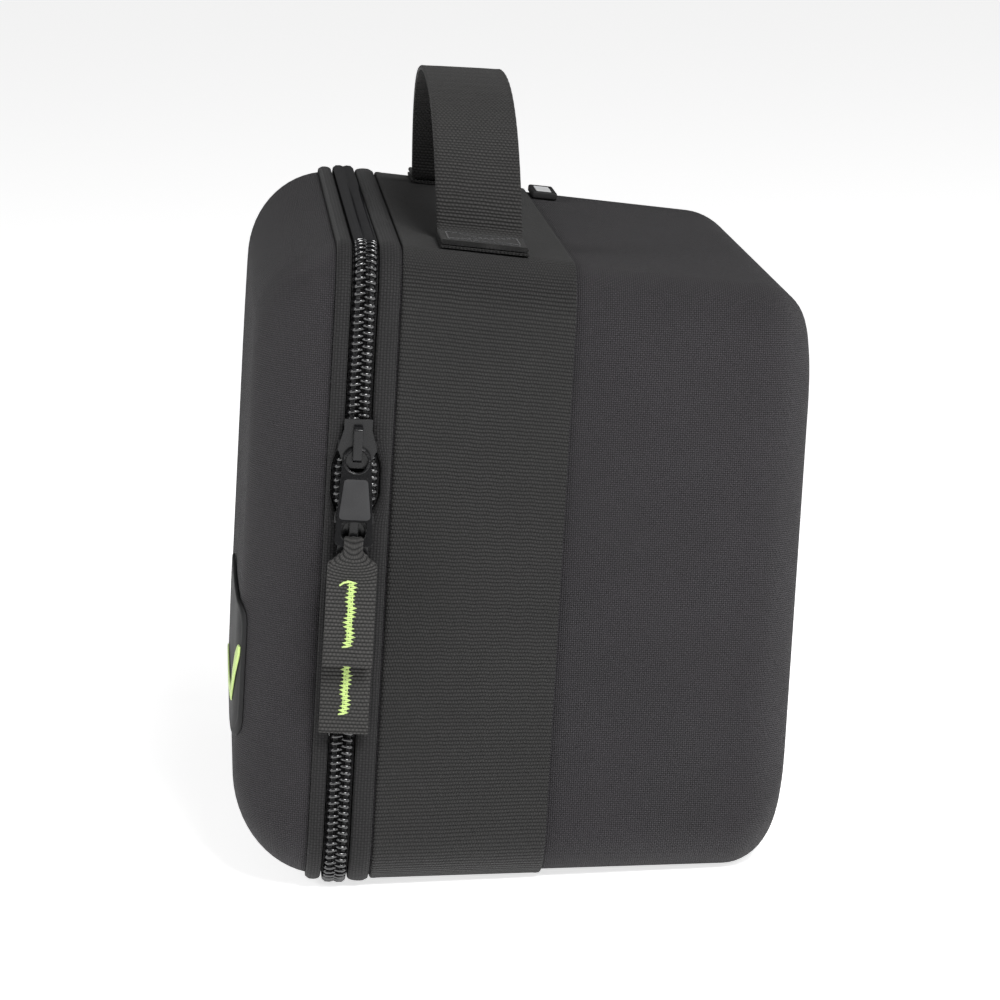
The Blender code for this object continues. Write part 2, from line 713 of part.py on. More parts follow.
def make_crown(name, axis):
    """The bridge over the top plate that holds the pull, drawn as (height, out)."""
    foot, under, top = GAP - PIVOT_RISE, PIVOT_RISE, PIVOT_RISE + CROWN_BAR
    slope = CROWN_SLOPE
    shape = [(CROWN_BACK, foot), (CROWN_BACK + CROWN_LEG, foot), (CROWN_BACK + CROWN_LEG, under)]
    shape += [(CROWN_FRONT - CROWN_LEG, under), (CROWN_FRONT - CROWN_LEG, foot), (CROWN_FRONT, foot)]
    shape += [(CROWN_FRONT, top - slope), (CROWN_FRONT - slope, top), (CROWN_BACK + slope, top)]
    shape += [(CROWN_BACK, top - slope)]
    mesh = plate(name, [(out, height) for height, out in shape], CROWN_WIDTH)
    # outline X runs outward (case X), outline Y along the zip (case Z), thickness along -Y
    add_part(name, mesh, "painted_metal", axis, place(0, 0, 0, FACING_FRONT))


PULLER_END = PULLER_TOP / 2 - EYE_DROP - PULLER_LENGTH
TAB_PIVOT = PULLER_END + SLOT_BAR / 2


def make_puller(name, axis):
    top, bottom = PULLER_TOP / 2, PULLER_BOTTOM / 2
    corner, end = PULLER_CORNER, PULLER_END
    shape = arc((0, -EYE_DROP), top, 0, 180, 10)
    shape += arc((-bottom + corner, end + corner), corner, 180, 270, 3)
    shape += arc((bottom - corner, end + corner), corner, 270, 360, 3)
    eye = arc((0, -EYE_DROP), EYE_RADIUS, 0, 330, 11)
    half, low = SLOT_WIDTH / 2, end + SLOT_BAR
    slot = [(half, low + SLOT_HEIGHT), (-half, low + SLOT_HEIGHT), (-half, low + SLOT_CORNER)]
    slot += [(-half + SLOT_CORNER, low), (half - SLOT_CORNER, low), (half, low + SLOT_CORNER)]
    mesh = plate(name, shape, PULLER_THICK, (eye, slot))
    return add_part(name, mesh, "painted_metal", axis, place(0, 0, 0, FACING_SIDE))


def make_tab(name, axis):
    """A folded webbing tab: a loop through the pull's slot and two layers stitched below."""
    inner = max(SLOT_BAR, PULLER_THICK) / 2 + LOOP_CLEAR
    outer = inner + TAB_LOOP
    neck = -inner - TAB_NECK
    flare = neck - TAB_FLARE
    wide, narrow = TAB_WIDTH / 2, SLOT_WIDTH / 2 - SLOT_CORNER
    right = [(narrow, neck), (wide, flare), (wide, -TAB_LENGTH)]
    flat = plate(name, right + [(-x, y) for x, y in reversed(right)], TAB_THICK)
    tab = add_part(name + "_webbing", flat, "webbing", axis, place(0, 0, 0, FACING_SIDE))
    foot = neck - TAB_OVERLAP
    loop = [(-outer, foot), (outer, foot), (outer, outer * 0.4), (outer * 0.5, outer)]
    loop += [(-outer * 0.5, outer), (-outer, outer * 0.4)]
    hole = [(-inner, -inner), (inner, -inner), (inner, inner * 0.5), (inner * 0.6, inner)]
    hole += [(-inner * 0.6, inner), (-inner, inner * 0.5)]
    ring_mesh = plate(name + "_loop", loop, 2 * narrow, (hole,))
    boolean(tab, add_cutter(name + "_loop", ring_mesh, axis, place(0, 0, 0, FACING_FRONT)), "UNION")
    tack = box(name + "_bartack", (TACK_THICK, TACK_WIDTH, TACK_LENGTH))
    spot = place(TAB_THICK / 2 + GAP + TACK_THICK / 2, 0, -TACK_DROP - TACK_LENGTH / 2)
    add_part(name + "_bartack", tack, "neon_thread", axis, spot)


def make_zip_set(which, direction, tilt, parent):
    """One slider with its crown, pull and tab; direction is +1 for closing upward."""
    height = SLIDERS_MEET + direction * PIVOT_FROM_MEET
    pivot = (CASE_WIDTH / 2 + PIVOT_OUT, 0, height)
    turned = (0, 0, 0) if direction > 0 else (math.pi, 0, 0)
    travel = empty(which + "_slider_axis", pivot, parent, turned)
    make_slider_body(which + "_slider_body", travel)
    make_crown(which + "_slider_crown", travel)
    swing = empty(which + "_puller_axis", pivot, parent, (0, -tilt, 0))
    make_puller(which + "_puller", swing)
    hang = Vector(pivot) + Vector((-TAB_PIVOT * math.sin(tilt), 0, TAB_PIVOT * math.cos(tilt)))
    make_tab(which + "_tab", empty(which + "_tab_axis", hang, parent))


# ---------------------------------------------------------------- standing on its base
def standing_lean():
    """The angle at which the coil under the rim and the body's back edge share one plane."""
    front = (coil_end(0) - COIL_WIDTH * COIL_CHAMFER[0], -COIL_TOP)
    back = [(d, inset) for d, inset, _ in shell_profile("body") if d > BODY_DEPTH / 2]
    return min(math.atan2(z - front[1], y - front[0]) for y, z in back)


def stand(frame_empty):
    """Moves the case so that the origin is the bottom centre of its bounding box."""
    bpy.context.view_layer.update()
    graph = bpy.context.evaluated_depsgraph_get()
    points = []
    for item in parts.objects:
        if item.type == "MESH":
            mesh = item.evaluated_get(graph).to_mesh()
            points += [item.matrix_world @ v.co for v in mesh.vertices]
            item.evaluated_get(graph).to_mesh_clear()
    low = [min(p[i] for p in points) for i in range(3)]
    high = [max(p[i] for p in points) for i in range(3)]
    frame_empty.location = (-(low[0] + high[0]) / 2, -(low[1] + high[1]) / 2, -low[2])


clear_scene()
parts = collection(COLLECTION)
cutters = collection("cutters")

lean = standing_lean()
case_frame = empty("case_frame", (0, 0, 0), None, (-lean, 0, 0))
lid_frame = empty("lid_hinge_axis", (-CASE_WIDTH / 2 - HINGE_OUT, 0, 0), case_frame)
lid_root = empty("lid_root", (CASE_WIDTH / 2 + HINGE_OUT, 0, 0), lid_frame)

make_shell("body", case_frame)
make_rim("body", case_frame)
flat_inside("foam_pad", "body", BODY_DEPTH - LAYERS - FOAM - GAP, FOAM, "foam", case_frame)
make_band(case_frame)
make_block(case_frame)
make_handle(case_frame, lean)

make_shell("lid", lid_root)
make_rim("lid", lid_root)
make_pocket(lid_root)
make_badge(lid_root)

make_zip_set("upper", 1, UPPER_TILT, case_frame)
make_zip_set("lower", -1, 0.0, case_frame)

stand(case_frame)
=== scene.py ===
"""Looks of a zippered hard carrying case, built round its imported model.

Shapes are worked out in the case's own frame: y = 0 is the zip plane, -Y the lid's front, +X the
side with the sliders, z = 0 the lowest line of the shells at the zip. Out means away from the
rim's outline.
"""
import json
import math
import random

import bmesh
import bpy
from bpy.props import FloatProperty, FloatVectorProperty, IntProperty, PointerProperty
from mathutils import Matrix, Vector


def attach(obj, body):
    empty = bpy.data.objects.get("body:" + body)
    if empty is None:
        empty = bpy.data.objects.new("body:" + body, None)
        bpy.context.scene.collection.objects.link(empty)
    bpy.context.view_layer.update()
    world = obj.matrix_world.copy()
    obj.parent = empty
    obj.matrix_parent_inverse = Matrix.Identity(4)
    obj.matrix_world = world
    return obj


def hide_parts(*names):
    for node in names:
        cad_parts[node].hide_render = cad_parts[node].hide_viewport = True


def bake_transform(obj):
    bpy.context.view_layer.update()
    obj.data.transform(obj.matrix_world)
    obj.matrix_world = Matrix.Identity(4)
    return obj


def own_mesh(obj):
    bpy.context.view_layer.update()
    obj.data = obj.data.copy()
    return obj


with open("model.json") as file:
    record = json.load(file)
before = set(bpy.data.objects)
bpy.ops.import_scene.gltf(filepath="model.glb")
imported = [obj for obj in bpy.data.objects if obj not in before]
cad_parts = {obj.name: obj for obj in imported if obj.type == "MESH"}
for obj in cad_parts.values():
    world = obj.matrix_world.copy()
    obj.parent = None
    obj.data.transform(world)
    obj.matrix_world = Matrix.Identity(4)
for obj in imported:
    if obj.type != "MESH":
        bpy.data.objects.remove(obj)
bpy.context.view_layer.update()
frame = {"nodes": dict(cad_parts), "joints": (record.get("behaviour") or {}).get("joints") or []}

bl_info = {
    "name": "Zippered hard case",
    "version": (1, 0, 0),
    "blender": (4, 5, 0),
    "location": "View3D > Sidebar > Hard case",
    "description": "Builds the woven shells, webbing, coil zip, pulls and stage of a hard carrying case",
    "category": "Object",
}

MM = 0.001
GAP = 0.3 * MM
TUCK = 0.5 * MM  # how far each shell's edge reaches into its lip
JOINTS = {joint["name"]: joint for joint in frame["joints"]}


# ---------------------------------------------------------------- settings
def length(name, description, default):
    return FloatProperty(name=name, description=description, default=default, unit="LENGTH", precision=5)


def colour(name, description, default):
    return FloatVectorProperty(
        name=name, description=description, default=(*default, 1.0), size=4, min=0.0, max=1.0, subtype="COLOR"
    )


class CaseSizes(bpy.types.PropertyGroup):
    """Sizes of the two shells and their lips"""

    width: length("Width", "Width of the shells at the zip", 0.241)
    height: length("Height", "Height of the shells at the zip", 0.1825)
    corner: length("Corner", "Corner radius at the rim", 0.015)
    corner_least: length("Least corner", "Smallest corner radius", 0.004)
    wall: length("Wall", "Thickness of the moulded shell", 0.004)
    lining: length("Lining", "Thickness of the lining", 0.001)
    body_depth: length("Body depth", "Zip plane to the back", 0.1304)
    body_draft: FloatProperty(name="Body draft", description="Slope of the body's walls", default=0.056)
    body_fillet: length("Body fillet", "Radius round the back", 0.0178)
    body_growth: FloatProperty(name="Body growth", description="How fast the corners widen", default=0.2)
    body_lip: length("Body lip", "Far edge of the body's lip from the zip plane", 0.0099)
    lid_depth: length("Lid depth", "Zip plane to the lid's front", 0.031)
    lid_draft: FloatProperty(name="Lid draft", description="Slope of the lid's walls", default=0.042)
    lid_fillet: length("Lid fillet", "Radius round the lid's front", 0.0262)
    lid_growth: FloatProperty(name="Lid growth", description="How fast the corners widen", default=-0.2)
    lid_crown: length("Lid crown", "How far the lid's front bulges", 0.0008)
    lid_lip: length("Lid lip", "Far edge of the lid's lip from the zip plane", 0.0082)
    lip_out: length("Lip height", "How far the lips stand out", 0.0019)
    lip_in: length("Lip depth", "How far the lips reach in", 0.0012)
    hinge_out: length("Hinge line", "Fold line of the hinge strip outside the rim", 0.0029)


class ZipSizes(bpy.types.PropertyGroup):
    """Sizes of the tapes, the coil and the pulls"""

    tape: length("Tape", "Thickness of the tapes", 0.0008)
    tape_out: length("Tape level", "Outer face of the tapes", -0.0002)
    coil_width: length("Coil width", "Width of one half of the coil", 0.0028)
    coil_height: length("Coil height", "Height of the coil over its tape", 0.0025)
    coil_split: length("Coil split", "Zip plane to the coil where it is shut", 0.0003)
    coil_spread: length("Coil spread", "How far each half moves out between the sliders", 0.0031)
    lip_clear: length("Lip clearance", "Coil to lip", 0.0008)
    sliders_meet: length("Meeting height", "Height of the point between the sliders", 0.1177)
    spread_flat: length("Spread flat", "Half height of the fully spread stretch", 0.003)
    spread_end: length("Spread end", "Half height of the whole spread stretch", 0.014)
    pitch: length("Tooth pitch", "Distance between teeth of one half", 0.00195)
    thread: length("Thread", "Thickness of the stitching thread", 0.0006)
    tack_width: length("Tack width", "Width of the zigzag patch on a tab", 0.0046)
    tack_length: length("Tack length", "Length of the zigzag patch on a tab", 0.019)
    tack_drop: length("Tack drop", "Tab pivot to the top of the zigzag patch", 0.0105)
    tab_width: length("Tab width", "Width of a webbing tab", 0.014)
    tab_length: length("Tab length", "Pivot to the end of a tab", 0.035)


class WebbingSizes(bpy.types.PropertyGroup):
    """Sizes of the band and handle, and the spacing of every weave"""

    band_start: length("Band start", "Zip plane to the band", 0.0105)
    band_width: length("Band width", "Width of the band", 0.0495)
    band_thick: length("Band thickness", "Thickness of the band", 0.00075)
    band_gap: length("Band gap", "Shell to band", 0.00025)
    handle_width: length("Handle width", "Width of the handle", 0.025)
    handle_thick: length("Handle thickness", "Thickness of the handle", 0.0014)
    handle_reach: length("Handle reach", "Centre to the end of a foot", 0.106)
    handle_foot: length("Handle foot", "Length of a foot", 0.026)
    handle_rise: length("Handle rise", "Height of the crest", 0.0413)
    handle_back: length("Handle place", "Zip plane to the handle's centre line", 0.034)
    handle_end: length("Handle end", "Thickness of the folded end", 0.0008)
    shell_pitch: length("Shell weave", "Thread spacing on the shells", 0.00062)
    band_row: length("Band rows", "Row spacing on the band", 0.0011)
    band_column: length("Band columns", "Column spacing on the band", 0.0008)
    handle_row: length("Handle rows", "Row spacing on the handle and tabs", 0.00108)
    lining_pitch: length("Lining knit", "Loop spacing of the lining", 0.0009)
    net_pitch: length("Net pitch", "Hole spacing of the net pocket", 0.0036)


class FinishColours(bpy.types.PropertyGroup):
    """Colours of the materials"""

    shell: colour("Shell cloth", "Threads of the shells", (0.0195, 0.0180, 0.0200))
    band: colour("Band webbing", "Threads of the band", (0.0115, 0.0112, 0.0110))
    handle: colour("Handle webbing", "Threads of the handle", (0.0165, 0.0160, 0.0155))
    tape: colour("Tape and lips", "Threads of the lips and tapes", (0.0120, 0.0116, 0.0120))
    lining: colour("Lining", "Knitted lining", (0.020, 0.020, 0.021))
    foam: colour("Foam", "Foam pad", (0.035, 0.035, 0.038))
    nylon: colour("Coil", "Nylon coil", (0.010, 0.010, 0.011))
    lacquer: colour("Lacquer", "Metal of the sliders and pulls", (0.008, 0.008, 0.0085))
    panel: colour("Pull panel", "Dull panel of the pulls", (0.022, 0.022, 0.023))
    rubber: colour("Rubber", "Badge and block", (0.010, 0.010, 0.0105))
    neon: colour("Neon thread", "Bright stitching and mark", (0.56, 0.74, 0.24))
    thread: colour("Black thread", "Stitching of the handle", (0.014, 0.014, 0.015))
    inlay: colour("Inlay", "White plate in the block", (0.86, 0.87, 0.88))
    floor: colour("Floor", "Studio floor", (0.93, 0.93, 0.93))


class StageSettings(bpy.types.PropertyGroup):
    """Camera, lights and floor"""

    focal: FloatProperty(name="Focal length", description="Lens of the camera", default=163.36, unit="CAMERA")
    eye: FloatVectorProperty(
        name="Camera place", description="Where the camera stands", default=(1.38025, -0.0837, 0.33189), subtype="XYZ"
    )
    right: FloatVectorProperty(
        name="Camera right", description="The picture's right", default=(0.06401, 0.997767, -0.019061), subtype="XYZ"
    )
    up: FloatVectorProperty(
        name="Camera up", description="The picture's up", default=(-0.168604, 0.029638, 0.985238), subtype="XYZ"
    )
    front_light: FloatProperty(name="Front light", description="Softbox above the camera", default=31.0, unit="POWER")
    side_light: FloatProperty(name="Side light", description="Strip that draws the edges", default=7.0, unit="POWER")
    sky: FloatProperty(name="Sky", description="Strength of the white surroundings", default=0.16)
    corner_faces: IntProperty(name="Corner faces", description="Facets of each rounded corner", default=12, min=4)


def case():
    return bpy.context.scene.hardcase_case


def zipper():
    return bpy.context.scene.hardcase_zip


def webbing():
    return bpy.context.scene.hardcase_webbing


def colours():
    return bpy.context.scene.hardcase_colours


# ---------------------------------------------------------------- frames
UP = -Vector(JOINTS["lid_hinge"]["axis"])
ACROSS = Vector((1, 0, 0))
BACK = UP.cross(ACROSS)


def placed(origin, out, back, up):
    """A frame from its origin and its three directions."""
    turned = Matrix((out, back, up)).transposed().to_4x4()
    turned.translation = origin
    return turned


def case_frame():
    fold = Vector(JOINTS["lid_hinge"]["pos_m"])
    return placed(fold + ACROSS * (case().width / 2 + case().hinge_out), ACROSS, BACK, UP)


def pull_frame(which):
    """Origin at the pull's pivot, Z up along the pull, X out."""
    pivot = Vector(JOINTS[which + "_puller_swing"]["pos_m"])
    tab = Vector(JOINTS[which + "_tab_swing"]["pos_m"])
    up = (pivot - tab).normalized()
    return placed(pivot, BACK.cross(up), BACK, up)


def tab_frame(which):
    return placed(Vector(JOINTS[which + "_tab_swing"]["pos_m"]), ACROSS, BACK, UP)


# ---------------------------------------------------------------- making meshes
class Shape:
    """Points, faces and each face corner's place on the cloth."""

    def __init__(self):
        self.points = []
        self.faces = []
        self.cloth = []

    def rows(self, rows, marks, closed=False, start_cap=False, end_cap=False):
        """Faces between rows of points. marks(row, column) gives the place on the cloth."""
        base, count = len(self.points), len(rows[0])
        for row in rows:
            self.points += [tuple(p) for p in row]
        for r in range(len(rows) - 1):
            for c in range(count if closed else count - 1):
                d = (c + 1) % count
                corners = ((r, c, c), (r, d, c + 1), (r + 1, d, c + 1), (r + 1, c, c))
                self.faces.append([base + i * count + j for i, j, _ in corners])
                self.cloth.append([marks(i, k) for i, _, k in corners])
        for wanted, r in ((start_cap, 0), (end_cap, len(rows) - 1)):
            if wanted:
                self.faces.append([base + r * count + c for c in range(count)])
                self.cloth.append([marks(r, c) for c in range(count)])

    def tube(self, points, radii, flat, sides=6):
        """A rounded thread along points; flat is a direction it never runs along."""
        rings, travelled, along = [], [], 0.0
        for i, point in enumerate(points):
            ahead = points[min(i + 1, len(points) - 1)] - points[max(i - 1, 0)]
            side = ahead.cross(flat).normalized()
            lift = side.cross(ahead).normalized()
            turns = [2 * math.pi * k / sides for k in range(sides)]
            rings.append([point + (side * math.cos(a) + lift * math.sin(a)) * radii[i] for a in turns])
            along += (point - points[i - 1]).length if i else 0.0
            travelled.append(along)
        around = 2 * math.pi * max(radii) / sides
        self.rows(rings, lambda r, c: (c * around, travelled[r]), True, True, True)

    def piece(self, name, body, look, slot, matrix=None, smooth=True, replaces=()):
        """The finished mesh as a piece that rides on a body."""
        matrix = matrix or case_frame()
        mesh = bpy.data.meshes.new(name)
        mesh.from_pydata([matrix @ Vector(p) for p in self.points], [], self.faces)
        layer = mesh.uv_layers.new(name="cloth")
        corners = [mark for face in self.cloth for mark in face]
        layer.data.foreach_set("uv", [value for mark in corners for value in mark])
        work = bmesh.new()
        work.from_mesh(mesh)
        bmesh.ops.remove_doubles(work, verts=work.verts, dist=1e-7)
        bmesh.ops.recalc_face_normals(work, faces=work.faces)
        work.to_mesh(mesh)
        work.free()
        mesh.materials.append(look)
        mesh.shade_smooth() if smooth else mesh.shade_flat()
        made = bpy.data.objects.new(name, mesh)
        bpy.context.scene.collection.objects.link(made)
        if body:
            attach(made, body)
        if replaces:
            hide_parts(*replaces)
        return made


def crease(piece, degrees=35):
    """Hard edges stay crisp where faces meet at more than this angle."""
    piece.data.set_sharp_from_angle(angle=math.radians(degrees))
    return piece


# ---------------------------------------------------------------- materials
class Finish:
    """A material whose nodes are wired by short calls."""

    def __init__(self, name, base, roughness):
        self.material = bpy.data.materials.new(name)
        self.material.use_nodes = True
        self.tree = self.material.node_tree
        self.shader = self.tree.nodes["Principled BSDF"]
        self.shader.inputs["Base Color"].default_value = base
        self.shader.inputs["Roughness"].default_value = roughness
        self.base = base

    def node(self, kind, **settings):
        made = self.tree.nodes.new(kind)
        for key, value in settings.items():
            setattr(made, key, value)
        return made

    def join(self, source, target):
        self.tree.links.new(source, target)

    def math(self, operation, a, b=0.0, c=0.0):
        made = self.node("ShaderNodeMath", operation=operation)
        for socket, value in zip(made.inputs, (a, b, c)):
            if isinstance(value, (int, float)):
                socket.default_value = value
            else:
                self.join(value, socket)
        return made.outputs[0]

    def noise(self, scale, detail=3.0, rough=0.6, where=None):
        made = self.node("ShaderNodeTexNoise")
        made.inputs["Scale"].default_value = scale
        made.inputs["Detail"].default_value = detail
        made.inputs["Roughness"].default_value = rough
        self.join(where or self.node("ShaderNodeTexCoord").outputs["Object"], made.inputs["Vector"])
        return made.outputs["Fac"]

    def range(self, value, low, high, to_low, to_high):
        made = self.node("ShaderNodeMapRange")
        for socket, number in zip(made.inputs[1:5], (low, high, to_low, to_high)):
            socket.default_value = number
        self.join(value, made.inputs[0])
        return made.outputs[0]

    def shade(self, amount, dark, light):
        """Base colour runs from dark to light shares of itself as amount goes from 0 to 1."""
        mixer = self.node("ShaderNodeMix", data_type="RGBA")
        mixer.inputs["A"].default_value = (*(c * dark for c in self.base[:3]), 1)
        mixer.inputs["B"].default_value = (*(min(1.0, c * light) for c in self.base[:3]), 1)
        self.join(amount, mixer.inputs["Factor"])
        self.join(mixer.outputs["Result"], self.shader.inputs["Base Color"])
        return mixer

    def bump(self, height, distance, strength=1.0):
        made = self.node("ShaderNodeBump")
        made.inputs["Distance"].default_value = distance
        made.inputs["Strength"].default_value = strength
        self.join(height, made.inputs["Height"])
        self.join(made.outputs["Normal"], self.shader.inputs["Normal"])

    def rough(self, amount, low, high):
        self.join(self.range(amount, 0.0, 1.0, low, high), self.shader.inputs["Roughness"])

    def threads(self, column, row):
        """Distances across the cloth counted in threads, and the rounded profile of each."""
        split = self.node("ShaderNodeSeparateXYZ")
        self.join(self.node("ShaderNodeUVMap", uv_map="cloth").outputs[0], split.inputs[0])
        across = self.math("DIVIDE", split.outputs[0], column)
        along = self.math("DIVIDE", split.outputs[1], row)
        wobble = self.math("MULTIPLY", self.math("SUBTRACT", self.noise(90.0, 2.0), 0.5), 0.5)
        across, along = self.math("ADD", across, wobble), self.math("ADD", along, wobble)
        profiles = [
            self.math("ABSOLUTE", self.math("SINE", self.math("MULTIPLY", t, math.pi))) for t in (across, along)
        ]
        return across, along, profiles


def woven(name, base, column, row, depth=0.00016, roughness=0.75, sheen=0.05, dark=0.2, light=1.9):
    """Plain weave: each thread passes over one and under the next."""
    look = Finish(name, base, roughness)
    across, along, (over, under) = look.threads(column, row)
    sum_of = look.math("ADD", look.math("FLOOR", across), look.math("FLOOR", along))
    odd = look.math("MODULO", look.math("ABSOLUTE", sum_of), 2.0)
    warp = look.math("MULTIPLY", over, look.math("MULTIPLY_ADD", under, 0.5, 0.5))
    weft = look.math("MULTIPLY", under, look.math("MULTIPLY_ADD", over, 0.5, 0.5))
    weft = look.math("MULTIPLY", weft, 0.8)
    even = look.math("SUBTRACT", 1.0, odd)
    height = look.math("ADD", look.math("MULTIPLY", warp, odd), look.math("MULTIPLY", weft, even))
    finish_cloth(look, height, depth, roughness, sheen, dark, light)
    return look.material


def ribbed(name, base, column, row, depth=0.0003, roughness=0.62, sheen=0.05, dark=0.15, light=2.2):
    """Heavy webbing: rows of short rounded floats, each row shifted by half a float."""
    look = Finish(name, base, roughness)
    across, along, (_, rib) = look.threads(column, row)
    shift = look.math("MULTIPLY", look.math("MODULO", look.math("ABSOLUTE", look.math("FLOOR", along)), 2.0), 0.5)
    moved = look.math("MULTIPLY", look.math("ADD", across, shift), math.pi)
    bead = look.math("ABSOLUTE", look.math("SINE", moved))
    height = look.math("MULTIPLY", rib, look.math("MULTIPLY_ADD", bead, 0.55, 0.45))
    finish_cloth(look, height, depth, roughness, sheen, dark, light)
    return look.material


def finish_cloth(look, height, depth, roughness, sheen, dark, light):
    fibre = look.noise(2600.0, 2.0)
    patch = look.noise(28.0, 3.0)
    # Painted shade and painted highlight: the base colour follows the thread height, near black in the gaps between
    # threads and lighter on the raised crowns, times random fibre and patch tone.
    weave_shade_and_tone = look.math("MULTIPLY", height, look.math("MULTIPLY_ADD", fibre, 0.9, 0.5))
    weave_shade_and_tone = look.math("MULTIPLY", weave_shade_and_tone, look.math("MULTIPLY_ADD", patch, 0.5, 0.75))
    look.shade(look.math("MINIMUM", weave_shade_and_tone, 1.0), dark, light)
    look.rough(fibre, roughness - 0.1, min(1.0, roughness + 0.12))
    raised = look.math("ADD", height, look.math("MULTIPLY", fibre, 0.25))
    look.bump(raised, depth)
    look.shader.inputs["Sheen Weight"].default_value = sheen
    look.shader.inputs["Sheen Roughness"].default_value = 0.5
    look.shader.inputs["Specular IOR Level"].default_value = 0.22


def mottled(name, base, roughness, grain, depth, light=1.5, gloss=0.5):
    """Moulded or cast stuff: fine grain, uneven gloss and faint handling marks."""
    look = Finish(name, base, roughness)
    fine, broad = look.noise(grain, 4.0), look.noise(grain / 25.0, 2.0)
    look.shade(look.math("MULTIPLY", fine, broad), 0.75, light)
    mixed = look.math("MULTIPLY_ADD", broad, 0.6, look.math("MULTIPLY", fine, 0.4))
    look.rough(mixed, roughness * 0.7, roughness * 1.35)
    look.bump(fine, depth)
    look.shader.inputs["Specular IOR Level"].default_value = gloss
    return look.material


def make_finishes():
    """Every material, by its short name."""
    c, w = colours(), webbing()
    return {
        # Each cloth's dark and light shares set how deep the painted shade in the weave's gaps goes and how bright
        # the painted highlight on the thread crowns is.
        "shell": woven("shell cloth", c.shell, w.shell_pitch, w.shell_pitch, depth=0.0003, dark=0.05, light=2.5),
        "band": ribbed("band webbing", c.band, w.band_column, w.band_row, depth=0.00036, dark=0.02, light=2.4),
        "handle": ribbed("handle webbing", c.handle, w.band_column * 1.5, w.handle_row, depth=0.0003),
        "tab": ribbed("tab webbing", c.handle, 0.0011, w.handle_row, depth=0.0004, dark=0.05, light=3.4),
        "tape": woven("lip and tape cloth", c.tape, 0.0009, 0.0008, depth=0.00014, sheen=0.06, dark=0.1, light=2.1),
        "lining": woven("knitted lining", c.lining, w.lining_pitch, w.lining_pitch * 0.7, depth=0.00008, sheen=0.15),
        "foam": mottled("foam", c.foam, 0.95, 900.0, 0.0005, light=2.0),
        "nylon": mottled("nylon filament", c.nylon, 0.13, 1500.0, 0.00001, gloss=1.0),
        "lacquer": mottled("black lacquer", c.lacquer, 0.2, 700.0, 0.00001, gloss=0.3),
        "panel": mottled("dull cast panel", c.panel, 0.5, 2200.0, 0.00004, light=2.2, gloss=0.35),
        "rubber": mottled("soft rubber", c.rubber, 0.62, 1800.0, 0.00003, gloss=0.3),
        "neon": fibrous("neon thread", c.neon, 0.5),
        "thread": fibrous("black thread", c.thread, 0.55),
        "inlay": mottled("white plastic", c.inlay, 0.35, 900.0, 0.00001, light=1.1),
    }


def fibrous(name, base, roughness):
    """Twisted thread: fine plies that run round it."""
    look = Finish(name, base, roughness)
    _, _, (_, ply) = look.threads(0.0006, 0.00035)
    # Painted shade and painted highlight: the colour is darker in the grooves between plies and lighter on their
    # crowns, times random tone.
    look.shade(look.math("MULTIPLY", ply, look.math("MULTIPLY_ADD", look.noise(700.0), 0.8, 0.6)), 0.62, 1.25)
    look.rough(ply, roughness, roughness + 0.2)
    look.bump(ply, 0.00008)
    look.shader.inputs["Sheen Weight"].default_value = 0.3
    return look.material


FINISHES = {}


# ---------------------------------------------------------------- outlines of the shells
def outline(inset, radius):
    """Rounded rectangle set in from the rim: x, z and the outward direction of each point."""
    half_x, half_z = case().width / 2 - inset, case().height / 2 - inset
    steps = bpy.context.scene.hardcase_stage.corner_faces
    points = []
    for quarter, (sx, sz) in enumerate(((-1, 1), (1, 1), (1, -1), (-1, -1))):
        for i in range(steps + 1):
            angle = math.radians(180 - 90 * quarter - 90 * i / steps)
            nx, nz = math.cos(angle), math.sin(angle)
            x = sx * (half_x - radius) + radius * nx
            z = case().height / 2 + sz * (half_z - radius) + radius * nz
            points.append((x, z, nx, nz))
    return points


def shell_numbers(which):
    """Side of the zip plane, rim, depth, draft, fillet, corner growth and crown."""
    c = case()
    if which == "body":
        return 1, c.body_lip - TUCK, c.body_depth, c.body_draft, c.body_fillet, c.body_growth, 0.0
    return -1, c.lid_lip - TUCK, c.lid_depth, c.lid_draft, c.lid_fillet, c.lid_growth, c.lid_crown


def shell_profile(which, fillet_steps=14, crown_steps=5):
    """Distance from the zip plane, inset and slope angle, from the rim to the end panel."""
    _, rim, depth, draft, fillet, _, crown = shell_numbers(which)
    centre = depth - crown - fillet
    start = max(draft, math.asin(max(0.0, rim - centre) / fillet))
    straight = max(0.0, centre + fillet * math.sin(start) - rim)
    points = [(rim, 0.0, start)] if straight > GAP else []
    for i in range(fillet_steps + 1):
        angle = start + (math.pi / 2 - start) * i / fillet_steps
        inset = straight * math.tan(draft) + fillet * (math.cos(start) - math.cos(angle))
        points.append((centre + fillet * math.sin(angle), inset, angle))
    last = case().height / 2 - 2 * case().corner_least
    edge, across = points[-1][0], last - points[-1][1]
    for i in range(1, crown_steps + 1 if crown else 0):
        share = i / crown_steps
        points.append((edge + crown * (1 - (1 - share) ** 2), last - across * (1 - share), math.pi / 2))
    return points


def section_radius(which, inset):
    return case().corner + shell_numbers(which)[5] * inset


def ring(which, distance, inset, under=0.0, angle=0.0):
    """Outline points of a layer under the shell's surface, and its distance from the zip plane."""
    shrink = under * math.cos(angle)
    radius = max(case().corner_least, section_radius(which, inset) - shrink)
    return outline(inset + shrink, radius), distance - under * math.sin(angle)


def body_inset(distance):
    return (distance - case().body_lip - GAP) * math.tan(case().body_draft)


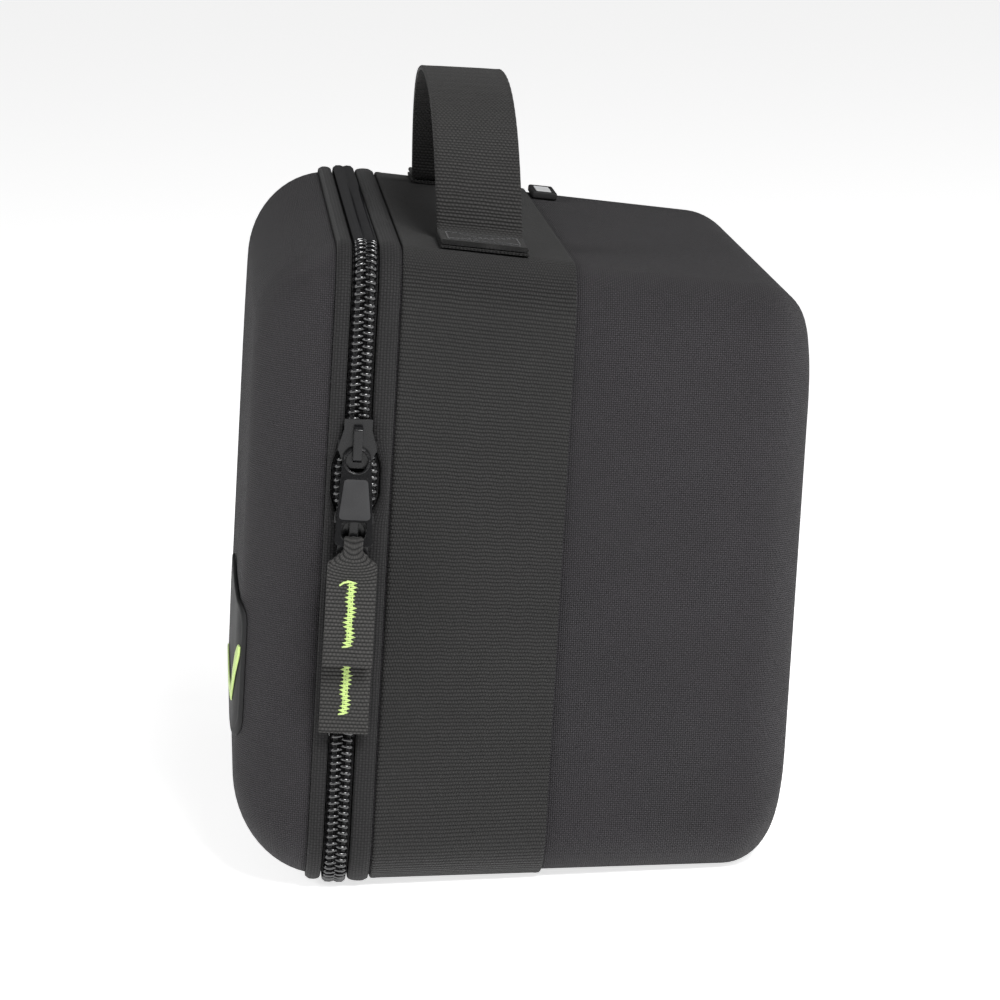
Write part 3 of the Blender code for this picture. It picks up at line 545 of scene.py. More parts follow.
def lid_front(x, z):
    """How far the lid's surface lies from the zip plane at a point of its front."""
    width, height, least = case().width / 2, case().height / 2, case().corner_least
    low, high = 0.0, height - 2 * least
    for _ in range(30):
        inset = (low + high) / 2
        radius = max(least, section_radius("lid", inset))
        across, up = abs(x) - (width - inset - radius), abs(z - height) - (height - inset - radius)
        outside = math.hypot(max(0, across), max(0, up)) + min(0, max(across, up)) > radius
        low, high = (low, inset) if outside else (inset, high)
    profile = shell_profile("lid")
    for (d0, i0, _), (d1, i1, _) in zip(profile, profile[1:]):
        if i0 <= inset <= i1:
            return d0 + (d1 - d0) * (inset - i0) / (i1 - i0)
    return profile[-1][0]


def cloth_place(point, side):
    """Distance along a wall's cloth from the wall's middle; side 0 is top or bottom, 1 left or right."""
    x, z, nx, nz = point
    middle = z - case().height / 2
    if side == 0:
        return x + math.copysign(case().corner * (math.atan2(abs(nx), abs(nz)) - abs(nx)), x)
    return middle + math.copysign(case().corner * (math.atan2(abs(nz), abs(nx)) - abs(nz)), middle)


def shell_layer(name, which, under, thickness, look, slot, body, replaces):
    """A closed layer of a shell, from its inner face round the rim to its outer face."""
    profile, side = shell_profile(which), shell_numbers(which)[0]
    outer = [ring(which, d, i, under, a if k else 0.0) for k, (d, i, a) in enumerate(profile)]
    inner = [ring(which, d, i, under + thickness, a if k else 0.0) for k, (d, i, a) in enumerate(profile)]
    layers = list(reversed(inner)) + outer
    rows = [[(x, side * away, z) for x, z, _, _ in points] for points, away in layers]
    down, travelled = [0.0], 0.0
    for before, after in zip(rows, rows[1:]):
        travelled += (Vector(after[0]) - Vector(before[0])).length
        down.append(travelled)
    shape = Shape()
    count = len(rows[0])
    base = len(shape.points)
    for row in rows:
        shape.points += row
    for r in range(len(rows) - 1):
        for c in range(count):
            d = (c + 1) % count
            first, second = layers[r][0][c], layers[r][0][d]
            sideways = 1 if abs(first[2] + second[2]) > abs(first[3] + second[3]) else 0
            corners = ((r, c), (r, d), (r + 1, d), (r + 1, c))
            shape.faces.append([base + i * count + j for i, j in corners])
            shape.cloth.append([(cloth_place(layers[i][0][j], sideways), down[i]) for i, j in corners])
    for r in (0, len(rows) - 1):
        shape.faces.append([base + r * count + c for c in range(count)])
        shape.cloth.append([(x, z) for x, _, z in rows[r]])
    return shape.piece(name, body, FINISHES[look], slot, replaces=replaces)


# ---------------------------------------------------------------- rim and zip
def spread(height):
    """0 where the zip is shut, 1 between the sliders."""
    z = zipper()
    share = (z.spread_end - abs(height - z.sliders_meet)) / (z.spread_end - z.spread_flat)
    share = min(1.0, max(0.0, share))
    return share * share * (3 - 2 * share)


def rim_stations():
    """Points round the rim from the hinge's top end, over the slider side, to its bottom end."""
    corners = [(*point, 0.0) for point in outline(0.0, case().corner)]
    half, z = len(corners) // 2, zipper()
    reach = z.spread_end + z.spread_flat
    heights = [z.sliders_meet + reach * (1 - i / 20) for i in range(41)]
    near = [(case().width / 2, h, 1.0, 0.0, spread(h)) for h in heights]
    return corners[:half] + near + corners[half:]


def coil_edges(opened):
    z = zipper()
    near = z.coil_split + z.coil_spread * opened
    return near, near + z.coil_width


def lip_start(opened):
    return coil_edges(opened)[1] + zipper().lip_clear


def coil_base():
    return zipper().tape_out + GAP


def sweep(section, side, closed):
    """A Shape from a section of (out, distance from the zip plane) points carried along the rim."""
    stations = rim_stations()
    if closed:
        stations = stations + stations[:1]
    rows, along, travelled = [], [], 0.0
    for i, (x, z, nx, nz, opened) in enumerate(stations):
        rows.append([(x + nx * out, side * away, z + nz * out) for out, away in section(opened)])
        if i:
            travelled += math.hypot(x - stations[i - 1][0], z - stations[i - 1][1])
        along.append(travelled)
    round_it, turned = [0.0], 0.0
    points = section(0.0)
    for a, b in zip(points, points[1:] + points[:1]):
        turned += math.dist(a, b)
        round_it.append(turned)
    shape = Shape()
    shape.rows(rows, lambda r, c: (round_it[c], along[r]), True, not closed, not closed)
    return shape


def lip_section(far):
    """A soft rounded lip with a shallow stitched groove near its far edge."""

    def section(opened):
        near, c = lip_start(opened), case()
        middle, half, rise = (near + far) / 2, (far - near) / 2, c.lip_out
        points = [(-c.lip_in, near), (0.0, near)]
        for i in range(13):
            angle = math.pi * i / 12
            groove = 0.22 * MM * math.exp(-(((i - 9.5) / 0.8) ** 2))
            bulge = rise * math.sin(angle) ** 0.45 if 0 < i < 12 else 0.12 * MM
            points.append((bulge - groove, middle - half * math.cos(angle)))
        return points + [(-c.lip_in, far)]

    return section


def tape_section(opened):
    z = zipper()
    near, far = coil_edges(opened)[0], lip_start(opened) - GAP
    low, high = z.tape_out - z.tape, z.tape_out
    edge = 0.15 * MM
    return [(low, near), (high - edge, near), (high, near + edge), (high, far), (low, far)]


def filler_section(opened):
    """The cord inside the coil's turns."""
    near, far = coil_edges(opened)
    middle, level, radius = (near + far) / 2 + 0.2 * MM, coil_base() + 0.75 * MM, 0.6 * MM
    turns = [2 * math.pi * i / 8 for i in range(8)]
    return [(level + radius * math.sin(a), middle - radius * math.cos(a)) for a in turns]


def along_rim(pitch, start):
    """Stations at an even spacing along the rim."""
    stations = rim_stations()
    wanted, travelled, found = start, 0.0, []
    for a, b in zip(stations, stations[1:]):
        step = math.hypot(b[0] - a[0], b[1] - a[1])
        while step and wanted <= travelled + step:
            share = (wanted - travelled) / step
            x, z, nx, nz, opened = (p + (q - p) * share for p, q in zip(a, b))
            size = math.hypot(nx, nz)
            found.append((x, z, nx / size, nz / size, opened))
            wanted += pitch
        travelled += step
    return found


def make_coil(which, body, start):
    """One half of the coil: a bent filament turn for each tooth, and the cord inside them."""
    z, side = zipper(), 1 if which == "body" else -1
    top, low = coil_base() + z.coil_height, coil_base()
    shape = Shape()
    for x, height, nx, nz, opened in along_rim(z.pitch, start):
        near, far = coil_edges(opened)
        path = [
            (far - 0.6 * MM, low + 0.4 * MM, 0.32, 0.40),
            (far - 0.35 * MM, low + 0.75 * MM, 0.28, 0.66),
            (far - 0.45 * MM, low + 1.35 * MM, 0.20, 0.74),
            (far - 0.95 * MM, top - 0.68 * MM, 0.08, 0.66),
            (near + 0.75 * MM, top - 0.5 * MM, -0.10, 0.5),
            (near - 0.15 * MM, top - 0.75 * MM, -0.14, 0.46),
            (near - 0.4 * MM, top - 1.4 * MM, -0.14, 0.35),
        ]
        points, radii = [], []
        for away, out, along, radius in path:
            shift = along * MM
            points.append(Vector((x + nx * out + nz * shift, side * away, height + nz * out - nx * shift)))
            radii.append(radius * MM)
        shape.tube(points, radii, Vector((nz, 0, -nx)))
    shape.piece(which + "_coil_teeth", body, FINISHES["nylon"], "nylon_coil", replaces=(which + "_zip_coil",))
    cord = sweep(filler_section, side, closed=False)
    cord.piece(which + "_coil_filler", body, FINISHES["thread"], "black_thread")


# ---------------------------------------------------------------- soft patches on the lid
def rounded_loop(left, right, low, high, radius, inset, steps=8):
    """A rounded rectangle in the lid's front plane, set in from its edge."""
    radius = max(0.2 * MM, radius - inset)
    left, right, low, high = left + inset, right - inset, low + inset, high - inset
    points = []
    for quarter, (sx, sz) in enumerate(((-1, 1), (1, 1), (1, -1), (-1, -1))):
        cx = (left + radius) if sx < 0 else (right - radius)
        cz = (low + radius) if sz < 0 else (high - radius)
        for i in range(steps + 1):
            angle = math.radians(180 - 90 * quarter - 90 * i / steps)
            points.append((cx + radius * math.cos(angle), cz + radius * math.sin(angle)))
    dense = []
    for a, b in zip(points, points[1:] + points[:1]):
        pieces = max(1, round(math.dist(a, b) / (3.0 * MM)))
        dense += [(a[0] + (b[0] - a[0]) * i / pieces, a[1] + (b[1] - a[1]) * i / pieces) for i in range(pieces)]
    return dense


def draped(points, over):
    return [(x, -(lid_front(x, z) + over), z) for x, z in points]


def ribbon_on_lid(line, width, low, high):
    """A Shape of a flat band with rounded ends along a line over the lid's front."""
    shape, half = Shape(), width / 2
    rows, along = [], []
    for i, (x, z) in enumerate(line):
        before, after = line[max(0, i - 1)], line[min(len(line) - 1, i + 1)]
        tangent = Vector((after[0] - before[0], after[1] - before[1])).normalized()
        size = half * (0.35 if i in (0, len(line) - 1) else 0.8 if i in (1, len(line) - 2) else 1.0)
        side = Vector((-tangent.y, tangent.x)) * size
        spots = [(-1, low), (-1, (low + high) / 2), (-0.8, high), (0, high + 0.05 * MM), (0.8, high)]
        spots += [(1, (low + high) / 2), (1, low)]
        rows.append([draped([(x + side.x * s, z + side.y * s)], over)[0] for s, over in spots])
        along.append(i * width * 0.5)
    shape.rows(rows, lambda r, c: (c * width / 6, along[r]), True, True, True)
    return shape


# ---------------------------------------------------------------- handle
def handle_line(steps=48):
    """Centre line of one half of the handle, from its foot's end to its crest: (x, rise)."""
    w = webbing()
    heel = Vector((w.handle_reach - w.handle_foot, 0))
    leg = heel + Vector((-10 * MM, 30 * MM))
    crest = Vector((0, w.handle_rise))
    shoulder = crest + Vector((45 * MM, 0))
    foot_points = [Vector((w.handle_reach - w.handle_foot * i / 10, 0)) for i in range(9)]
    points = foot_points + [heel + Vector((3 * MM, 0)), heel + Vector((1.6 * MM, 0.15 * MM))]
    for i in range(1, steps + 1):
        t = i / steps
        start = heel + Vector((0, 2 * MM)) * min(1, 3 * t)
        points.append(
            start * (1 - t) ** 3 + leg * 3 * t * (1 - t) ** 2 + shoulder * 3 * t * t * (1 - t) + crest * t**3
        )
    return points


def top_of_case(distance):
    return case().height - body_inset(distance)


def case_lean():
    return math.atan2(-BACK.z, BACK.y)


def handle_point(x, rise, across, lift):
    w = webbing()
    fade = max(0.0, 1 - rise / w.handle_rise)
    y = w.handle_back + across - rise * math.tan(case_lean() * 0.8)
    z = top_of_case(w.handle_back) + lift + rise - across * math.tan(case().body_draft) * fade
    return Vector((x, y, z))


def foot_lift():
    w = webbing()
    return w.band_gap + w.band_thick + 2 * GAP + w.handle_end


def stitch_line(shape, start, end, spacing, radius, normal):
    """Short sunken stitches one after another."""
    span = end - start
    count = max(1, round(span.length / spacing))
    for i in range(count):
        a, b = start + span * ((i + 0.08) / count), start + span * ((i + 0.92) / count)
        points = [a - normal * radius * 0.6]
        points += [a.lerp(b, 0.2) + normal * radius * 0.3, a.lerp(b, 0.5) + normal * radius * 0.5]
        points += [a.lerp(b, 0.8) + normal * radius * 0.3, b - normal * radius * 0.6]
        shape.tube(points, [radius * 0.6, radius, radius, radius, radius * 0.6], normal)


# ---------------------------------------------------------------- metal
def softened(name, node, body, width, look):
    """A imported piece's mesh with its hard edges rounded, standing in for it."""
    work = bmesh.new()
    work.from_mesh(frame["nodes"][node].data)
    bmesh.ops.remove_doubles(work, verts=work.verts, dist=1e-6)
    bmesh.ops.dissolve_limit(work, angle_limit=math.radians(2), verts=work.verts, edges=work.edges)
    sharp = [e for e in work.edges if len(e.link_faces) == 2 and e.calc_face_angle(0.0) > math.radians(28)]
    bmesh.ops.bevel(work, geom=sharp, offset=width, segments=3, profile=0.6, affect="EDGES", clamp_overlap=True)
    mesh = bpy.data.meshes.new(name)
    work.to_mesh(mesh)
    work.free()
    mesh.materials.append(look)
    mesh.shade_smooth()
    made = bpy.data.objects.new(name, mesh)
    bpy.context.scene.collection.objects.link(made)
    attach(made, body)
    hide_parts(node)
    weighted = made.modifiers.new("weighted", "WEIGHTED_NORMAL")
    weighted.keep_sharp = True
    return made


def trapezoid(top_half, bottom_half, top, bottom, radius, steps=5):
    """Rounded corners of a trapezoid in (y, z), clockwise from the top left."""
    corners = ((-top_half, top, 180), (top_half, top, 90), (bottom_half, bottom, 0), (-bottom_half, bottom, -90))
    points = []
    for y, z, start in corners:
        cy = y + math.copysign(radius, -y)
        cz = z - radius if z == top else z + radius
        for i in range(steps + 1):
            angle = math.radians(start - 90 * i / steps)
            points.append((cy + radius * math.cos(angle), cz + radius * math.sin(angle)))
    return points


# ---------------------------------------------------------------- operators
class PieceOperator(bpy.types.Operator):
    """Shared settings of the operators below"""

    bl_options = {"REGISTER", "UNDO"}

    def execute(self, context):
        self.build()
        return {"FINISHED"}


class HARDCASE_OT_finishes(PieceOperator):
    """Makes every material"""

    bl_idname = "hardcase.finishes"
    bl_label = "Materials"

    def build(self):
        FINISHES.update(make_finishes())


class HARDCASE_OT_shells(PieceOperator):
    """Builds the woven shells and their linings"""

    bl_idname = "hardcase.shells"
    bl_label = "Shells and linings"

    def build(self):
        c = case()
        for which, body in (("body", "case"), ("lid", "lid")):
            shell_layer(which + "_cloth", which, 0.0, c.wall, "shell", "shell_fabric", body, (which + "_shell",))
            under = c.wall + GAP
            shell_layer(
                which + "_knit", which, under, c.lining, "lining", "lining_fabric", body, (which + "_lining",)
            )


class HARDCASE_OT_rims(PieceOperator):
    """Builds the lips and the zip tapes"""

    bl_idname = "hardcase.rims"
    bl_label = "Lips and tapes"

    def build(self):
        for which, body, side, far in (("body", "case", 1, case().body_lip), ("lid", "lid", -1, case().lid_lip)):
            lip = sweep(lip_section(far), side, closed=True)
            lip.piece(which + "_lip", body, FINISHES["tape"], "binding", replaces=(which + "_rim_binding",))
            tape = sweep(tape_section, side, closed=False)
            made = tape.piece(which + "_tape", body, FINISHES["tape"], "webbing", replaces=(which + "_zip_tape",))
            crease(made)


class HARDCASE_OT_coils(PieceOperator):
    """Builds the teeth of both halves of the coil"""

    bl_idname = "hardcase.coils"
    bl_label = "Zip coil"

    def build(self):
        make_coil("body", "case", 0.5 * MM)
        make_coil("lid", "lid", 0.5 * MM + zipper().pitch / 2)


class HARDCASE_OT_hinge(PieceOperator):
    """Builds the strip that joins lid and body along the far side"""

    bl_idname = "hardcase.hinge"
    bl_label = "Hinge strip"

    def build(self):
        c, half_thick = case(), 0.4 * MM
        edge, far, fold = 0.2 * MM, lip_start(0) + 1.2 * MM, c.hinge_out - GAP - half_thick
        half = c.height / 2 - c.corner - GAP
        path = []
        for i in range(25):
            away = far * (1 - i / 12)
            bow = math.cos(math.pi / 2 * away / far)
            path.append((edge + (fold - edge) * bow, away))
        section = [(out + half_thick, away) for out, away in path]
        section += [(out - half_thick, away) for out, away in reversed(path)]
        rows, left = [], -c.width / 2
        steps = 40
        for i in range(steps + 1):
            z = c.height / 2 - half + 2 * half * i / steps
            rows.append([(left - out, away, z) for out, away in section])
        travelled = [0.0]
        for a, b in zip(section, section[1:] + section[:1]):
            travelled.append(travelled[-1] + math.dist(a, b))
        shape = Shape()
        shape.rows(rows, lambda r, k: (travelled[k], 2 * half * r / steps), True, True, True)
        strip = shape.piece(
            "hinge_strip", None, FINISHES["tape"], "binding", replaces=("body_hinge_gusset", "lid_hinge_gusset")
        )
        crease(strip)
        matrix = case_frame()
        reach = 2.0 * MM
        start, end = (matrix @ Vector((left - c.hinge_out, s * reach, c.height / 2)) for s in (1, -1))
        tuple(start)
        tuple(end)
        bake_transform(strip)


class HARDCASE_OT_band(PieceOperator):
    """Builds the wide webbing band round the body"""

    bl_idname = "hardcase.band"
    bl_label = "Webbing band"

    def build(self):
        w = webbing()
        start, end = w.band_start, w.band_start + w.band_width
        low, high, edge = w.band_gap, w.band_gap + w.band_thick, 0.35 * MM
        spots = [(start, low), (start, high - edge), (start + edge, high), (start + 1.2 * MM, high + 0.08 * MM)]
        spots += [(start + 2.2 * MM, high)]
        spots += [(start + w.band_width * i / 8, high) for i in range(1, 8)]
        spots += [(end - 2.2 * MM, high), (end - 1.2 * MM, high + 0.08 * MM), (end - edge, high)]
        spots += [(end, high - edge), (end, low)]
        rows = []
        for distance, over in spots:
            points, away = ring("body", distance, body_inset(distance), under=-over)
            rows.append([(x, away, z) for x, z, _, _ in points])
        first = [Vector(p) for p in rows[0]]
        along = [0.0]
        for a, b in zip(first, first[1:] + first[:1]):
            along.append(along[-1] + (b - a).length)
        across = [0.0]
        for a, b in zip(spots, spots[1:]):
            across.append(across[-1] + math.dist(a, b))
        shape = Shape()
        rows.append(rows[0])
        across.append(across[-1] + w.band_width)
        shape.rows(rows, lambda r, c: (across[r], along[c]), True)
        made = shape.piece("band", "case", FINISHES["band"], "webbing", replaces=("webbing_band",))
        crease(made, 60)


class HARDCASE_OT_handle(PieceOperator):
    """Builds the handle strap, its folded ends and their stitching"""

    bl_idname = "hardcase.handle"
    bl_label = "Handle"

    def build(self):
        self.strap()
        self.ends()
        self.stitching()

    def strap(self):
        w = webbing()
        half = handle_line()
        line = half + [Vector((-p.x, p.y)) for p in reversed(half[:-1])]
        side, thick, round_edge = w.handle_width / 2, w.handle_thick, 0.45 * MM
        spots = [(-side + round_edge, 0.0), (side - round_edge, 0.0), (side, round_edge), (side, thick - round_edge)]
        spots += [(side - round_edge, thick), (side * 0.86, thick - 0.06 * MM), (side * 0.5, thick)]
        spots += [(0.0, thick), (-side * 0.5, thick), (-side * 0.86, thick - 0.06 * MM)]
        spots += [(-side + round_edge, thick), (-side, thick - round_edge), (-side, round_edge)]
        rows, along, travelled = [], [], 0.0
        for i, p in enumerate(line):
            before, after = line[max(0, i - 1)], line[min(len(line) - 1, i + 1)]
            tangent = (after - before).normalized()
            normal = Vector((tangent.y, -tangent.x)) if tangent.x < 0 else Vector((-tangent.y, tangent.x))
            normal = normal if normal.y >= 0 else -normal
            ripple = 0.12 * MM * math.sin(i * 2.1) * min(1.0, p.y / (6 * MM))
            rows.append([])
            for across, over in spots:
                base = handle_point(p.x + normal.x * over, p.y, across, foot_lift() + normal.y * over + ripple)
                rows[-1].append(base)
            travelled += (p - line[i - 1]).length if i else 0.0
            along.append(travelled)
        marks = [0.0]
        for a, b in zip(spots, spots[1:] + spots[:1]):
            marks.append(marks[-1] + math.dist(a, b))
        shape = Shape()
        shape.rows(rows, lambda r, c: (marks[c], along[r]), True, True, True)
        strap = shape.piece("strap", "case", FINISHES["handle"], "webbing", replaces=("handle_strap",))
        crease(strap, 50)
        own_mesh(strap)

    def ends(self):
        w = webbing()
        base = top_of_case(w.handle_back) + w.band_gap + w.band_thick + GAP
        for mark, sign in (("right", 1), ("left", -1)):
            shape = Shape()
            outer, inner = w.handle_reach + 0.5 * MM, w.handle_reach - w.handle_foot
            fold = [(inner, 0.0), (outer - 0.3 * MM, 0.0), (outer, 0.15 * MM), (outer, w.handle_end - 0.15 * MM)]
            fold += [(outer - 0.3 * MM, w.handle_end), (inner, w.handle_end)]
            rows = []
            for i in range(27):
                across = (i / 26 - 0.5) * (w.handle_width + 0.3 * MM)
                fray = 0.12 * MM * math.sin(i * 2.7)
                drop = across * math.tan(case().body_draft)
                y = w.handle_back + across
                rows.append([(sign * (x + (fray if x > inner else 0)), y, base + z - drop) for x, z in fold])
            shape.rows(rows, lambda r, c: (c * 4 * MM, r * MM), True, True, True)
            made = shape.piece(
                "folded_end_" + mark, "case", FINISHES["band"], "webbing", replaces=("handle_end_" + mark,)
            )
            crease(made, 40)

    def stitching(self):
        w, radius = webbing(), 0.22 * MM
        for mark, sign in (("right", 1), ("left", -1)):
            shape = Shape()

            def at(x, across):
                level = foot_lift() + w.handle_thick
                return handle_point(sign * x, 0.0, across, level)

            near, far, side = w.handle_reach - 20 * MM, w.handle_reach - 2.4 * MM, w.handle_width / 2 - 2.2 * MM
            normal = Vector((0, math.sin(case().body_draft), math.cos(case().body_draft)))
            corners = [at(near, -side), at(near, side), at(far, side), at(far, -side)]
            lines = list(zip(corners, corners[1:] + corners[:1]))
            lines += [(corners[0], corners[2]), (corners[1], corners[3])]
            lines += [(at(far - 1.4 * MM, -side), at(far - 1.4 * MM, side))]
            for start, end in lines:
                stitch_line(shape, start, end, 2.3 * MM, radius, normal)
            shape.piece(
                "foot_stitches_" + mark,
                "case",
                FINISHES["thread"],
                "black_thread",
                replaces=("handle_stitching_" + mark,),
            )


class HARDCASE_OT_block(PieceOperator):
    """Dresses the small block on top and its white inlay"""

    bl_idname = "hardcase.block"
    bl_label = "Block on top"

    def build(self):
        softened("block_housing", "top_block", "case", 0.15 * MM, FINISHES["rubber"])
        softened("block_inlay", "top_block_inlay", "case", 0.2 * MM, FINISHES["inlay"])


class HARDCASE_OT_sliders(PieceOperator):
    """Builds both sliders with their bridges"""

    bl_idname = "hardcase.sliders"
    bl_label = "Sliders"

    def build(self):
        for which in ("upper", "lower"):
            body, look = which + "_slider", FINISHES["lacquer"]
            softened(body + "_housing", body + "_body", body, 0.28 * MM, look)
            softened(body + "_bridge", body + "_crown", body, 0.32 * MM, look)


class HARDCASE_OT_pulls(PieceOperator):
    """Builds both pulls, each with a raised rim, an eye ring and a dull panel"""

    bl_idname = "hardcase.pulls"
    bl_label = "Pulls"

    def build(self):
        for which in ("upper", "lower"):
            body = which + "_puller"
            softened(body + "_plate", body, body, 0.22 * MM, FINISHES["lacquer"])
            self.rim(which, body)
            self.panel(which, body)
            self.eye(which, body)

    def rim(self, which, body):
        shape, face = Shape(), 0.64 * MM
        loops = ((4.05, 5.05, 0.0), (4.0, 5.0, 0.22), (3.6, 4.6, 0.22), (3.5, 4.5, -0.02))
        rows = []
        for top, bottom, over in loops:
            grow = (top - 3.5) * MM
            loop = trapezoid(top * MM, bottom * MM, -8.9 * MM + grow, -20.4 * MM - grow, 1.2 * MM)
            rows.append([(face + over * MM, y, z) for y, z in loop])
        shape.rows(rows, lambda r, c: (c * MM, r * MM), True)
        made = shape.piece(body + "_rim", body, FINISHES["lacquer"], "painted_metal", pull_frame(which))
        return crease(made, 50)

    def panel(self, which, body):
        shape, rows = Shape(), []
        for inset, over in ((0.0, 0.60), (0.0, 0.70), (0.12, 0.72), (1.2, 0.70)):
            loop = trapezoid((3.45 - inset) * MM, (4.45 - inset) * MM, (-8.95 - inset) * MM, (-20.35 + inset) * MM, 1.1 * MM)
            rows.append([(over * MM, y, z) for y, z in loop])
        shape.rows(rows, lambda r, c: (c * MM, r * MM), True, True, True)
        made = shape.piece(body + "_panel", body, FINISHES["panel"], "painted_metal", pull_frame(which))
        return crease(made, 50)

    def eye(self, which, body):
        shape, points = Shape(), []
        centre = Vector((0.62 * MM, 0, -3.85 * MM))
        for i in range(37):
            angle = 2 * math.pi * i / 36
            points.append(centre + Vector((0, math.cos(angle), math.sin(angle))) * 3.55 * MM)
        shape.tube(points, [0.33 * MM] * 37, Vector((1, 0, 0)))
        return shape.piece(body + "_eye_ring", body, FINISHES["lacquer"], "painted_metal", pull_frame(which))


class HARDCASE_OT_tabs(PieceOperator):
    """Builds the folded webbing tabs and their bright zigzag stitching"""

    bl_idname = "hardcase.tabs"
    bl_label = "Pull tabs"

    def build(self):
        for which in ("upper", "lower"):
            self.webbing_fold(which)
            self.zigzag(which)

    def fold_line(self):
        """Out and height of the fold's centre line, from the rear layer's end over the loop."""
        end, layer, loop = -zipper().tab_length, 0.57 * MM, 1.575 * MM
        heights = [end + (-7.0 * MM - end) * i / 14 for i in range(15)]
        rear = [(-layer, h) for h in heights]
        rise = [(-0.75 * MM, -5.6 * MM), (-1.1 * MM, -3.8 * MM), (-1.42 * MM, -2.0 * MM)]
        over = [(-loop * math.cos(math.pi * i / 10), loop * math.sin(math.pi * i / 10)) for i in range(11)]
        return rear + rise + over + [(-o, h) for o, h in reversed(rear + rise)]

    def half_width(self, height):
        narrow, wide = 2.72 * MM, zipper().tab_width / 2
        share = min(1.0, max(0.0, (-height - 1.9 * MM) / (4.2 * MM)))
        return narrow + (wide - narrow) * share * share * (3 - 2 * share)

    def webbing_fold(self, which):
        line, body = self.fold_line(), which + "_tab"
        rows, along, travelled = [], [], 0.0
        for i, (out, height) in enumerate(line):
            before, after = line[max(0, i - 1)], line[min(len(line) - 1, i + 1)]
            tangent = Vector((after[0] - before[0], after[1] - before[1])).normalized()
            normal = Vector((-tangent.y, tangent.x))
            half, thick, row = self.half_width(height), 0.46 * MM, []
            for k in range(21):
                across = -1 + k / 10
                pucker = 0.10 * MM * math.cos(across * 9.0) * max(0.0, 1 + height / (9 * MM))
                row.append((across * half, thick * (1 - 0.5 * abs(across) ** 8) + pucker))
            row += [(y, -thick * (1 - 0.5 * abs(y / half) ** 8)) for y, _ in reversed(row)]
            rows.append([(out + normal.x * t, y, height + normal.y * t) for y, t in row])
            travelled += math.dist(line[i - 1], (out, height)) if i else 0.0
            along.append(travelled)

        def marks(r, c):
            c = c % 42
            across = (c if c < 21 else 41 - c) / 10 - 1
            height = line[r][1]
            sag = 2.2 * MM * (1 - across * across) * math.exp(-(((height + 5 * MM) / (5 * MM)) ** 2))
            return (across * zipper().tab_width / 2, along[r] - math.copysign(sag, r - len(line) / 2))

        shape = Shape()
        shape.rows(rows, marks, True, True, True)
        made = shape.piece(
            which + "_webbing_fold",
            body,
            FINISHES["tab"],
            "webbing",
            tab_frame(which),
            replaces=(which + "_tab_webbing",),
        )
        crease(made, 60)

    def zigzag(self, which):
        z, body = zipper(), which + "_tab"
        level, radius, pick = 1.1 * MM, z.thread / 2, random.Random(7 if which == "upper" else 11)
        shape = Shape()
        rows = round(z.tack_length / (0.6 * MM))
        points = []
        for i in range(rows + 1):
            side = 1 if i % 2 else -1
            reach = (z.tack_width / 2 - radius) * pick.uniform(0.62, 0.78)
            height = -z.tack_drop - z.tack_length * i / rows
            lean = 0.35 * MM * math.sin(i * 0.55)
            turn = Vector((level - radius * 0.7, side * reach + lean, height))
            points += [turn, Vector((level + radius * 0.55, lean, height - 0.3 * MM))]
        shape.tube(points[:-1], [radius] * (len(points) - 1), Vector((1, 0, 0)))
        for offset in (-0.5, 0.5):
            top = Vector((level - radius * 0.4, offset * MM, -z.tack_drop - 0.3 * MM))
            bottom = Vector((level - radius * 0.4, offset * MM, -z.tack_drop - z.tack_length + 0.5 * MM))
            shape.tube([top, top.lerp(bottom, 0.5), bottom], [radius * 0.7] * 3, Vector((1, 0, 0)))
        bend = ((0.5, 0.2), (2.2, 0.5), (3.4, 1.4))
        tail = [Vector((level + 0.1 * MM, -y * MM, -z.tack_drop - h * MM)) for y, h in bend]
        shape.tube(tail, [radius, radius, radius * 0.8], Vector((1, 0, 0)))
        shape.piece(
            which + "_zigzag",
            body,
            FINISHES["neon"],
            "neon_thread",
            tab_frame(which),
            replaces=(which + "_tab_bartack",),
        )


class HARDCASE_OT_badge(PieceOperator):
    """Builds the rubber badge on the lid and its plain bright mark"""

    bl_idname = "hardcase.badge"
    bl_label = "Badge"

    def build(self):
        left, right, low, high = 15 * MM, 105 * MM, 38 * MM, 77 * MM
        shape, rows = Shape(), []
        steps = ((0.0, 0.3), (0.0, 0.8), (0.15, 1.05), (0.45, 1.2), (1.4, 1.2), (1.7, 1.06), (2.1, 1.06))
        steps += tuple((inset, 1.06) for inset in (4, 7, 10, 13, 16, 18.2, 19.2))
        for inset, over in steps:
            loop = rounded_loop(left, right, low, high, 6 * MM, 0.0)
            centre_x, centre_z = (left + right) / 2, (low + high) / 2
            scale_x = 1 - inset * MM / ((right - left) / 2)
            scale_z = 1 - inset * MM / ((high - low) / 2)
            moved = [(centre_x + (x - centre_x) * scale_x, centre_z + (z - centre_z) * scale_z) for x, z in loop]
            rows.append(draped(moved, over * MM))
        shape.rows(rows, lambda r, c: (rows[r][c % len(rows[0])][0], rows[r][c % len(rows[0])][2]), True, True, True)
        made = shape.piece("badge_patch", "lid", FINISHES["rubber"], "rubber", replaces=("badge",))
        crease(made, 50)
        foot, head, bend = 48.75 * MM, 65 * MM, 94 * MM
        line = [(25 * MM + (bend - 25 * MM) * i / 40, foot) for i in range(41)]
        line += [(bend + 9 * MM * i / 12, foot + (head - foot) * (i / 12) ** 1.1) for i in range(1, 13)]
        mark = ribbon_on_lid(line, 3.5 * MM, 1.25 * MM, 1.7 * MM)
        mark.piece("badge_stripe", "lid", FINISHES["neon"], "neon_thread", replaces=("badge_mark",))


